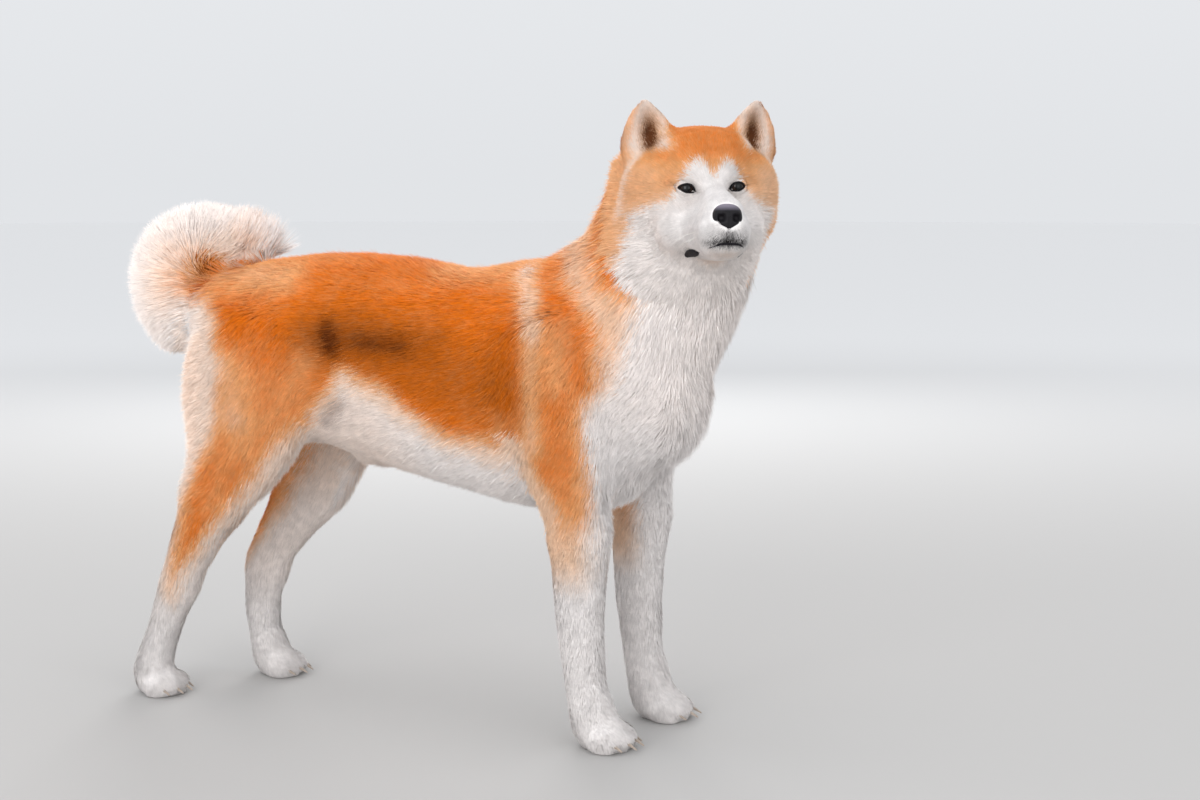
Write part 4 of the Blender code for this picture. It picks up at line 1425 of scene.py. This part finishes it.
            write_attribute(mesh, "coat_" + key, np.stack(values, axis=1).ravel())
        write_attribute(mesh, "coat_tone", np.repeat(tufts["tone"], 4))
        write_attribute(mesh, "coat_along", np.tile((0.0, 0.5, 0.5, 1.0), count))
        mesh.normals_split_custom_set_from_vertices(facing.reshape(-1, 3))
        return object_of(mesh, name)


# ---------------------------------------------------------------- finishes
def add_node(tree: bpy.types.NodeTree, kind: str, **settings: object) -> bpy.types.Node:
    """Adds a node to a tree.

    Args:
        tree: The tree.
        kind: The node's type, without its ShaderNode.
        settings: Its properties, or its input values where a key is an input's name.

    Returns:
        The new node.
    """
    made = tree.nodes.new("ShaderNode" + kind)
    for key, value in settings.items():
        if hasattr(made, key):
            setattr(made, key, value)
        else:
            made.inputs[key].default_value = value
    return made


def mixed(
    tree: bpy.types.NodeTree,
    first: Socket | tuple,
    second: Socket | tuple,
    share: Socket | float,
    mode: str = "MIX",
) -> Socket:
    """The colour of a new mix of two colours.

    Args:
        tree: The tree that it goes into.
        first: One colour, or the socket that gives it.
        second: The other colour, or its socket.
        share: How much of the second, or the socket that gives it.
        mode: How the two are mixed.

    Returns:
        The socket of the mixed colour.
    """
    made = add_node(tree, "Mix", data_type="RGBA", blend_type=mode)
    for place, value in ((0, share), (6, first), (7, second)):
        if isinstance(value, Socket):
            tree.links.new(value, made.inputs[place])
        else:
            made.inputs[place].default_value = value
    return made.outputs[2]


def rescaled(
    tree: bpy.types.NodeTree, value: Socket, source: tuple, target: tuple, kind: str = "LINEAR"
) -> Socket:
    """The socket of a number taken from one range to another."""
    made = add_node(tree, "MapRange", interpolation_type=kind)
    tree.links.new(value, made.inputs["Value"])
    for name, number in zip(("From Min", "From Max", "To Min", "To Max"), (*source, *target)):
        made.inputs[name].default_value = number
    return made.outputs["Result"]


def pattern(tree: bpy.types.NodeTree, kind: str, **settings: float) -> bpy.types.Node:
    """A new texture node on Object coordinates."""
    place = add_node(tree, "TexCoord")
    made = add_node(tree, kind, **settings)
    tree.links.new(place.outputs["Object"], made.inputs["Vector"])
    return made


class Shader:
    """A material's node tree under construction."""

    def __init__(self, name: str, **values: float | tuple) -> None:
        """Starts a material with one Principled shader.

        Args:
            name: The material's name.
            values: The shader's sockets, with _ for a space in their names.
        """
        self.material = bpy.data.materials.new(name)
        self.material.use_nodes = True
        self.tree = self.material.node_tree
        self.principled = self.tree.nodes["Principled BSDF"]
        for key, value in values.items():
            self.principled.inputs[key.replace("_", " ")].default_value = value

    def attribute(self, name: str) -> Socket:
        """The number that a mesh attribute holds."""
        return add_node(self.tree, "Attribute", attribute_name=name).outputs["Fac"]

    def link(self, source: Socket, name: str) -> None:
        """Joins a socket to one of the Principled shader's."""
        self.tree.links.new(source, self.principled.inputs[name])

    def dress(self, piece: bpy.types.Object) -> None:
        """Gives a piece this material alone."""
        piece.data.materials.clear()
        piece.data.materials.append(self.material)


@dataclass(frozen=True)
class CoatColours:
    """The colours of the hair, as it is lit from all round."""

    white: tuple = (0.87, 0.84, 0.83, 1)
    cream: tuple = (0.86, 0.58, 0.39, 1)
    gold: tuple = (0.82, 0.39, 0.155, 1)
    red: tuple = (0.74, 0.160, 0.004, 1)
    red_root: tuple = (0.76, 0.21, 0.020, 1)
    # Sable smudges, and the painted shade of the dark mask in the groin fold, the ear hollows and
    # the tail's curl.
    sable_and_shade: tuple = (0.080, 0.014, 0.001, 1)
    black: tuple = (0.016, 0.013, 0.014, 1)
    # The tone holds painted light as well as each tuft's own spread.
    swing: tuple = (0.84, 1.20)  # the darkest and the lightest tuft
    mottle: tuple = (0.90, 1.08)  # the darkest and the lightest place

    def group(self) -> bpy.types.NodeTree:
        """The shader group that mixes the coat's colour from its masks."""
        tree = bpy.data.node_groups.new("coat_colour", "ShaderNodeTree")
        for name in ("Red", "Cream", "Dark", "Black", "Along", "Tone"):
            tree.interface.new_socket(name, in_out="INPUT", socket_type="NodeSocketFloat")
        tree.interface.new_socket("Color", in_out="OUTPUT", socket_type="NodeSocketColor")
        masks = tree.nodes.new("NodeGroupInput").outputs
        end = tree.nodes.new("NodeGroupOutput")
        red = mixed(tree, self.red_root, self.red, masks["Along"])
        to_gold = rescaled(tree, masks["Red"], (0.0, 0.5), (0, 1))
        to_red = rescaled(tree, masks["Red"], (0.5, 1.0), (0, 1))
        colour = mixed(tree, self.white, self.cream, masks["Cream"])
        colour = mixed(tree, mixed(tree, colour, self.gold, to_gold), red, to_red)
        colour = mixed(tree, colour, self.sable_and_shade, masks["Dark"])
        colour = mixed(tree, colour, self.black, masks["Black"])
        cloud = pattern(tree, "TexNoise", Scale=70.0, Detail=3.0, Roughness=0.6).outputs["Fac"]
        swing = rescaled(tree, masks["Tone"], (0, 1), self.swing)
        for value in (swing, rescaled(tree, cloud, (0.3, 0.7), self.mottle)):
            grey = add_node(tree, "CombineColor")
            for name in ("Red", "Green", "Blue"):
                tree.links.new(value, grey.inputs[name])
            colour = mixed(tree, colour, grey.outputs["Color"], 1.0, "MULTIPLY")
        tree.links.new(colour, end.inputs["Color"])
        return tree

    def material(self, name: str, group: bpy.types.NodeTree) -> Shader:
        """The coat's or the skin's material."""
        shader = Shader(name, Roughness=0.75, Specular_IOR_Level=0.06)
        colour = add_node(shader.tree, "Group", node_tree=group)
        for key in (*MASKS, "along", "tone"):
            shader.tree.links.new(shader.attribute("coat_" + key), colour.inputs[key.title()])
        shader.link(colour.outputs["Color"], "Base Color")
        return shader


@dataclass(frozen=True)
class LeatherFinish:
    """Bare black skin: the nose, the lids and the lips."""

    colour: tuple = (0.006, 0.006, 0.007, 1)
    light: tuple = (0.016, 0.014, 0.017, 1)
    # Painted sheen: the lighter colour on the top of the nose, standing in for the sky's
    # reflection on it.
    painted_sheen: tuple = (0.19, 0.17, 0.215, 1)
    roughness: float = 0.50
    shine: float = 0.16
    grain: float = 900.0
    relief: float = 0.35

    def material(self, name: str) -> Shader:
        """A pebbled, slightly moist skin, with a painted sheen mixed in by an attribute."""
        shader = Shader(name, Roughness=self.roughness, Specular_IOR_Level=self.shine)
        tree = shader.tree
        bump = add_node(tree, "Bump", Strength=self.relief, Distance=0.0006)
        cells = pattern(tree, "TexVoronoi", Scale=self.grain)
        tree.links.new(cells.outputs["Distance"], bump.inputs["Height"])
        shader.link(bump.outputs["Normal"], "Normal")
        cloud = pattern(tree, "TexNoise", Scale=160.0, Detail=4.0).outputs["Fac"]
        tint = mixed(tree, self.colour, self.light, cloud)
        shader.link(mixed(tree, tint, self.painted_sheen, shader.attribute("painted_sheen")), "Base Color")
        return shader


@dataclass(frozen=True)
class EyeFinish:
    """A dark brown iris under a wet cornea."""

    pupil: tuple = (0.002, 0.002, 0.002, 1)
    iris: tuple = (0.020, 0.010, 0.006, 1)
    rim: tuple = (0.006, 0.003, 0.002, 1)
    white: tuple = (0.30, 0.24, 0.21, 1)
    places: tuple = (0.0, 0.28, 0.34, 0.60, 0.72, 0.84)

    def material(self) -> Shader:
        """Rings of colour by the distance from the eye's axis."""
        shader = Shader("akita_eye", Roughness=0.06, Specular_IOR_Level=0.32)
        rings = add_node(shader.tree, "ValToRGB")
        elements = rings.color_ramp.elements
        while len(elements) < len(self.places):
            elements.new(0.5)
        colours = (self.pupil, self.pupil, self.iris, self.iris, self.rim, self.white)
        for element, place, colour in zip(elements, self.places, colours):
            element.position = place
            element.color = colour
        shader.tree.links.new(shader.attribute("off_axis"), rings.inputs["Fac"])
        fibres = pattern(shader.tree, "TexNoise", Scale=900.0, Detail=2.0).outputs["Color"]
        colour = mixed(shader.tree, rings.outputs["Color"], fibres, 0.35, "OVERLAY")
        shader.link(colour, "Base Color")
        return shader


@dataclass(frozen=True)
class ClawFinish:
    """Streaky horn."""

    dark: tuple = (0.26, 0.20, 0.16, 1)
    pale: tuple = (0.52, 0.44, 0.37, 1)

    def material(self) -> Shader:
        """Horn with fine streaks."""
        shader = Shader("akita_claw", Roughness=0.38, Specular_IOR_Level=0.5)
        streaks = pattern(shader.tree, "TexNoise", Scale=240.0, Detail=3.0).outputs["Fac"]
        shader.link(mixed(shader.tree, self.dark, self.pale, streaks), "Base Color")
        return shader


# ---------------------------------------------------------------- the features of the face
@dataclass
class Features:
    """Eyes, lids, nose and lips."""

    head: HeadFrame
    eyes: list[EyeShape]
    skin: Skin
    whisker_roots: tuple = (
        (0.082, 0.026, -0.055),
        (0.076, 0.029, -0.063),
        (0.070, 0.030, -0.056),
        (0.064, 0.032, -0.066),
        (0.060, 0.033, -0.058),
    )
    lid_rings: tuple = (  # 1 on the edge of the opening, and how far ahead of the lids' level
        (0.86, -0.0035),
        (0.97, -0.0004),
        (1.02, 0.0006),
        (1.10, 0.0010),
        (1.20, 0.0009),
        (1.30, 0.0003),
        (1.40, -0.0012),
    )

    def build(self) -> list[bpy.types.Object]:
        """Builds every feature of the face."""
        made = [self.nose(), self.lips()]
        LeatherFinish().material("akita_nose_leather").dress(made[0])
        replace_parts(made[0], "nose")
        lips = LeatherFinish(roughness=0.6, shine=0.08, relief=0.2)
        lips.material("akita_lip_skin").dress(made[1])
        lids = LeatherFinish(roughness=0.40, shine=0.14, relief=0.1).material("akita_lid_skin")
        eye_finish = EyeFinish().material()
        for eye in self.eyes:
            ball, lid = self.ball(eye), self.lid(eye)
            eye_finish.dress(ball)
            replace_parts(ball, f"eye_{eye.side.name.lower()}")
            lids.dress(lid)
            made += [ball, lid]
        return made

    def ball(self, eye: EyeShape) -> bpy.types.Object:
        """One eyeball with its cornea."""
        bm = bmesh.new()
        bmesh.ops.create_uvsphere(bm, u_segments=48, v_segments=32, radius=1.0)
        off = []
        for vertex in bm.verts:
            forward, out, up = vertex.co.z, vertex.co.x, vertex.co.y
            off.append(math.acos(max(-1.0, min(1.0, forward))) / (math.pi / 2))
            bulge = 0.0005 * max(0.0, 1 - (off[-1] / 0.45) ** 2)
            radius = eye.radius - 0.0002 + bulge
            local = np.array([(forward * radius, out * radius, up * radius)])
            vertex.co = Vector(self.head.outward(eye.back(local))[0])
        made = object_from(bm, f"akita_eyeball_{eye.side.name.lower()}")
        write_attribute(made.data, "off_axis", np.array(off))
        return made

    def lid(self, eye: EyeShape) -> bpy.types.Object:
        """The black rim of one eye's lids."""
        rings = [eye.ring(spread, lift) for spread, lift in self.lid_rings]
        rim = bridged_rings(rings, closed_ends=False)
        return object_from(rim, f"akita_lid_{eye.side.name.lower()}")

    def nose(self) -> bpy.types.Object:
        """The nose leather with its nostrils and its furrow."""
        size, middle = self.skin.pad_size, np.array(self.skin.pad_centre)
        bm = bmesh.new()
        bmesh.ops.create_uvsphere(bm, u_segments=96, v_segments=72, radius=1.0)
        painted_sheen = []
        for vertex in bm.verts:
            ahead, left, up = (math.copysign(abs(c) ** 0.82, c) for c in vertex.co)
            y = left * size[1] * (1 - 0.42 * max(0.0, -up) ** 1.4)
            drop = self.skin.pad_drop * math.exp(-((y / self.skin.pad_drop_width) ** 2))
            z = up * size[2] * (1 + drop * (up < 0))
            x = ahead * size[0] * (0.88 + 0.08 * up) + self.nose_relief(y, z) * max(0.0, ahead)
            # Painted sheen: the top of the nose gets the lighter colour.
            painted_sheen.append(min(1.0, max(0.0, (up - 0.52) / 0.36)))
            vertex.co = Vector(self.head.outward(np.array([(x, y, z)]) + middle)[0])
        made = object_from(bm, "akita_nose_leather")
        write_attribute(made.data, "painted_sheen", np.array(painted_sheen))
        return made

    @staticmethod
    def nose_relief(y: float, z: float) -> float:
        """How far the front of the nose stands out at a place left of and above its middle."""
        relief = 0.0
        for side in Side:
            across = y * side.value
            pit = math.exp(-(((across - 0.0098) / 0.0044) ** 4) - ((z - 0.0008) / 0.0046) ** 4)
            below = z + 0.0040 + 0.30 * abs(across - 0.0125)
            slit = math.exp(-(((across - 0.0150) / 0.0050) ** 2) - (below / 0.0015) ** 2)
            wing = math.exp(-(((across - 0.0125) / 0.0045) ** 2) - ((z - 0.0074) / 0.0034) ** 2)
            relief += 0.0014 * wing - 0.0085 * pit - 0.0030 * slit
        furrow = math.exp(-((y / 0.0009) ** 2)) * min(1.0, max(0.0, (0.004 - z) / 0.006))
        return relief - 0.0016 * furrow

    def lips(self) -> bpy.types.Object:
        """The dark lips, as one strip along the mouth with a fold at each corner."""
        mouth = self.skin.mouth
        placed, facing = [], []
        thin = ramp(mouth.height, 0.0012, 0.0006)
        for point, share in zip(mouth.line, thin):
            spot, normal, _, _ = self.skin.shell.find_nearest(Vector(point))
            placed.append(np.array(spot) - (0.0016 + 0.0020 * share) * np.array(normal))
            facing.append(np.array(normal))
        placed, facing = np.array(placed), np.array(facing)
        for _ in range(4):
            placed[1:-1] = 0.5 * placed[1:-1] + 0.25 * (placed[:-2] + placed[2:])
            facing[1:-1] = 0.5 * facing[1:-1] + 0.25 * (facing[:-2] + facing[2:])
        radii = np.stack([0.0014 + 0.25 * mouth.height, mouth.height], axis=1)
        made = object_from(tube(placed, facing, radii, 14), "akita_lips")
        write_attribute(made.data, "painted_sheen", np.zeros(len(made.data.vertices)))
        return made

    def whiskers(self) -> bpy.types.Object:
        """Fine bristles at the sides of the muzzle, as one mesh."""
        draw = np.random.default_rng(23)
        whole = bmesh.new()
        for side in Side:
            flip = np.array((1, side.value, 1))
            for number, root in enumerate(self.whisker_roots):
                start = np.array(root) * flip
                reach = 0.030 + 0.004 * (number % 3)
                way = np.array((-0.25 - 0.1 * number, 1.0, -0.25 + 0.12 * draw.normal()))
                way = unit(way * flip)
                t = np.linspace(0, 1, 7)[:, None]
                local = start + way * reach * t + np.array((-0.3, 0, -0.35)) * reach * t**2
                path = self.head.outward(local)
                radii = 0.00022 * (1 - 0.85 * t) * np.ones((1, 2))
                across = np.tile(self.head.direction(np.array((0.0, 0.0, 1.0))), (7, 1))
                pour(tube(path, across, radii, 5), whole)
        return object_from(whole, "akita_whiskers")


# ---------------------------------------------------------------- the studio
@dataclass
class Studio:
    """The floor, the light and the camera."""

    head: HeadFrame
    target_from_eyes: tuple = (-0.1841, 0.0619, -0.3018)
    azimuth: float = math.radians(22.0)
    elevation: float = math.radians(6.8)
    distance: float = 2.7
    lens: float = 56.7
    horizon: float = 0.80
    zenith: float = 1.04
    lamps: tuple = (  # name, place, size and power
        ("sky", (-0.4, -0.4, 4.4), 3.6, 24),
        ("key", (-0.2, -4.6, 1.8), 3.0, 106),
        ("fill", (3.4, -2.2, 1.2), 2.6, 26),
        ("rim", (-1.4, 3.4, 2.4), 2.0, 56),
    )
    floor_near: tuple = (0.47, 0.46, 0.45, 1)
    # Painted light: the far floor is lighter so that it matches the sky's brightness at the
    # horizon.
    floor_far: tuple = (0.775, 0.775, 0.775, 1)
    floor_fade: tuple = (0.8, 7.0)
    lamp_aim: float = 0.45

    def build(self) -> None:
        """Sets up everything round the dog."""
        self.floor()
        self.world()
        for lamp in self.lamps:
            self.lamp(*lamp)
        self.camera()

    def floor(self) -> None:
        """A wide floor, darker near the dog and painted lighter further off, standing in for
        light, so that it meets the sky at the horizon.
        """
        bm = bmesh.new()
        bmesh.ops.create_circle(bm, cap_ends=True, segments=96, radius=30.0)
        made = object_from(bm, "studio_floor", smooth=False)
        shader = Shader("studio_floor", Roughness=0.9, Specular_IOR_Level=0.1)
        reach = pattern(shader.tree, "VectorMath", operation="LENGTH").outputs["Value"]
        fade = rescaled(shader.tree, reach, self.floor_fade, (0, 1), "SMOOTHSTEP")
        shader.link(mixed(shader.tree, self.floor_near, self.floor_far, fade), "Base Color")
        shader.dress(made)

    def world(self) -> None:
        """Light from all round, brighter overhead than at the horizon."""
        world = bpy.data.worlds.new("studio")
        bpy.context.scene.world = world
        world.use_nodes = True
        tree = world.node_tree
        back = tree.nodes["Background"]
        back.inputs["Color"].default_value = (0.95, 0.97, 1.0, 1)
        way = add_node(tree, "TexCoord")
        split = add_node(tree, "SeparateXYZ")
        tree.links.new(way.outputs["Generated"], split.inputs["Vector"])
        rise = rescaled(tree, split.outputs["Z"], (0.0, 0.7), (self.horizon, self.zenith))
        tree.links.new(rise, back.inputs["Strength"])
        bpy.context.scene.view_settings.view_transform = "Standard"

    def lamp(self, name: str, place: tuple, size: float, power: float) -> None:
        """One soft lamp that faces the dog."""
        data = bpy.data.lights.new(name, "AREA")
        data.size = size
        data.energy = power
        made = bpy.data.objects.new(name, data)
        made.location = place
        way = Vector((0, 0, self.lamp_aim)) - Vector(place)
        made.rotation_euler = way.to_track_quat("-Z", "Y").to_euler()
        bpy.context.scene.collection.objects.link(made)

    def camera(self) -> None:
        """The camera, a little above the dog's back and ahead of its right side."""
        target = self.head.between_eyes + np.array(self.target_from_eyes)
        a, e = self.azimuth, self.elevation
        back = np.array((math.sin(a) * math.cos(e), -math.cos(a) * math.cos(e), math.sin(e)))
        data = bpy.data.cameras.new("camera")
        data.lens = self.lens
        data.sensor_width = 36.0
        made = bpy.data.objects.new("camera", data)
        made.location = Vector(target + back * self.distance)
        made.rotation_euler = Vector(-back).to_track_quat("-Z", "Y").to_euler()
        bpy.context.scene.collection.objects.link(made)
        bpy.context.scene.camera = made


def dress_skin(skin: Skin, made: bpy.types.Object, markings: Markings, shader: Shader) -> None:
    """Gives the skin its markings and its material."""
    seen = skin.surface.points + skin.normal * Coat.seen_at * skin.depth[:, None]
    marks = markings.at(seen, skin.kinds, skin.names)
    for key in MASKS:
        write_attribute(made.data, "coat_" + key, marks[key])
    write_attribute(made.data, "coat_along", np.full(skin.surface.count, 0.5))
    write_attribute(made.data, "coat_tone", np.full(skin.surface.count, 0.30))
    shader.dress(made)


def main() -> None:
    """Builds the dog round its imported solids."""
    logging.basicConfig(level=logging.INFO, format="%(message)s")
    for obj in list(bpy.data.objects):
        bpy.data.objects.remove(obj)
    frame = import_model()
    nodes: Nodes = frame["nodes"]
    head = HeadFrame()
    eyes = [EyeShape(head, side) for side in Side]
    markings = Markings(head)

    skin = Skin(nodes, head, TailLine(), eyes, MouthShape(head))
    hide = skin.build()
    colours = CoatColours()
    group = colours.group()
    hair = colours.material("akita_hair", group)
    dress_skin(skin, hide, markings, colours.material("akita_skin", group))
    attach(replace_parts(hide, *skin.flesh), BODY)
    LOG.info("skin: %d points", skin.surface.count)

    for piece in Coat(skin, markings).grow():
        hair.dress(piece)
        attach(piece, BODY)
        LOG.info("%s: %d faces", piece.name, len(piece.data.polygons))

    features = Features(head, eyes, skin)
    whiskers = features.whiskers()
    Shader("akita_bristle", Base_Color=(0.80, 0.77, 0.72, 1), Roughness=0.4).dress(whiskers)
    for piece in features.build() + [whiskers]:
        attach(piece, BODY)
        LOG.info("%s: %d faces", piece.name, len(piece.data.polygons))

    claws = ClawFinish().material()
    for name, node in nodes.items():
        if "claw" in name:
            claws.dress(node)

    Studio(head).build()


if __name__ == "__main__":
    main()
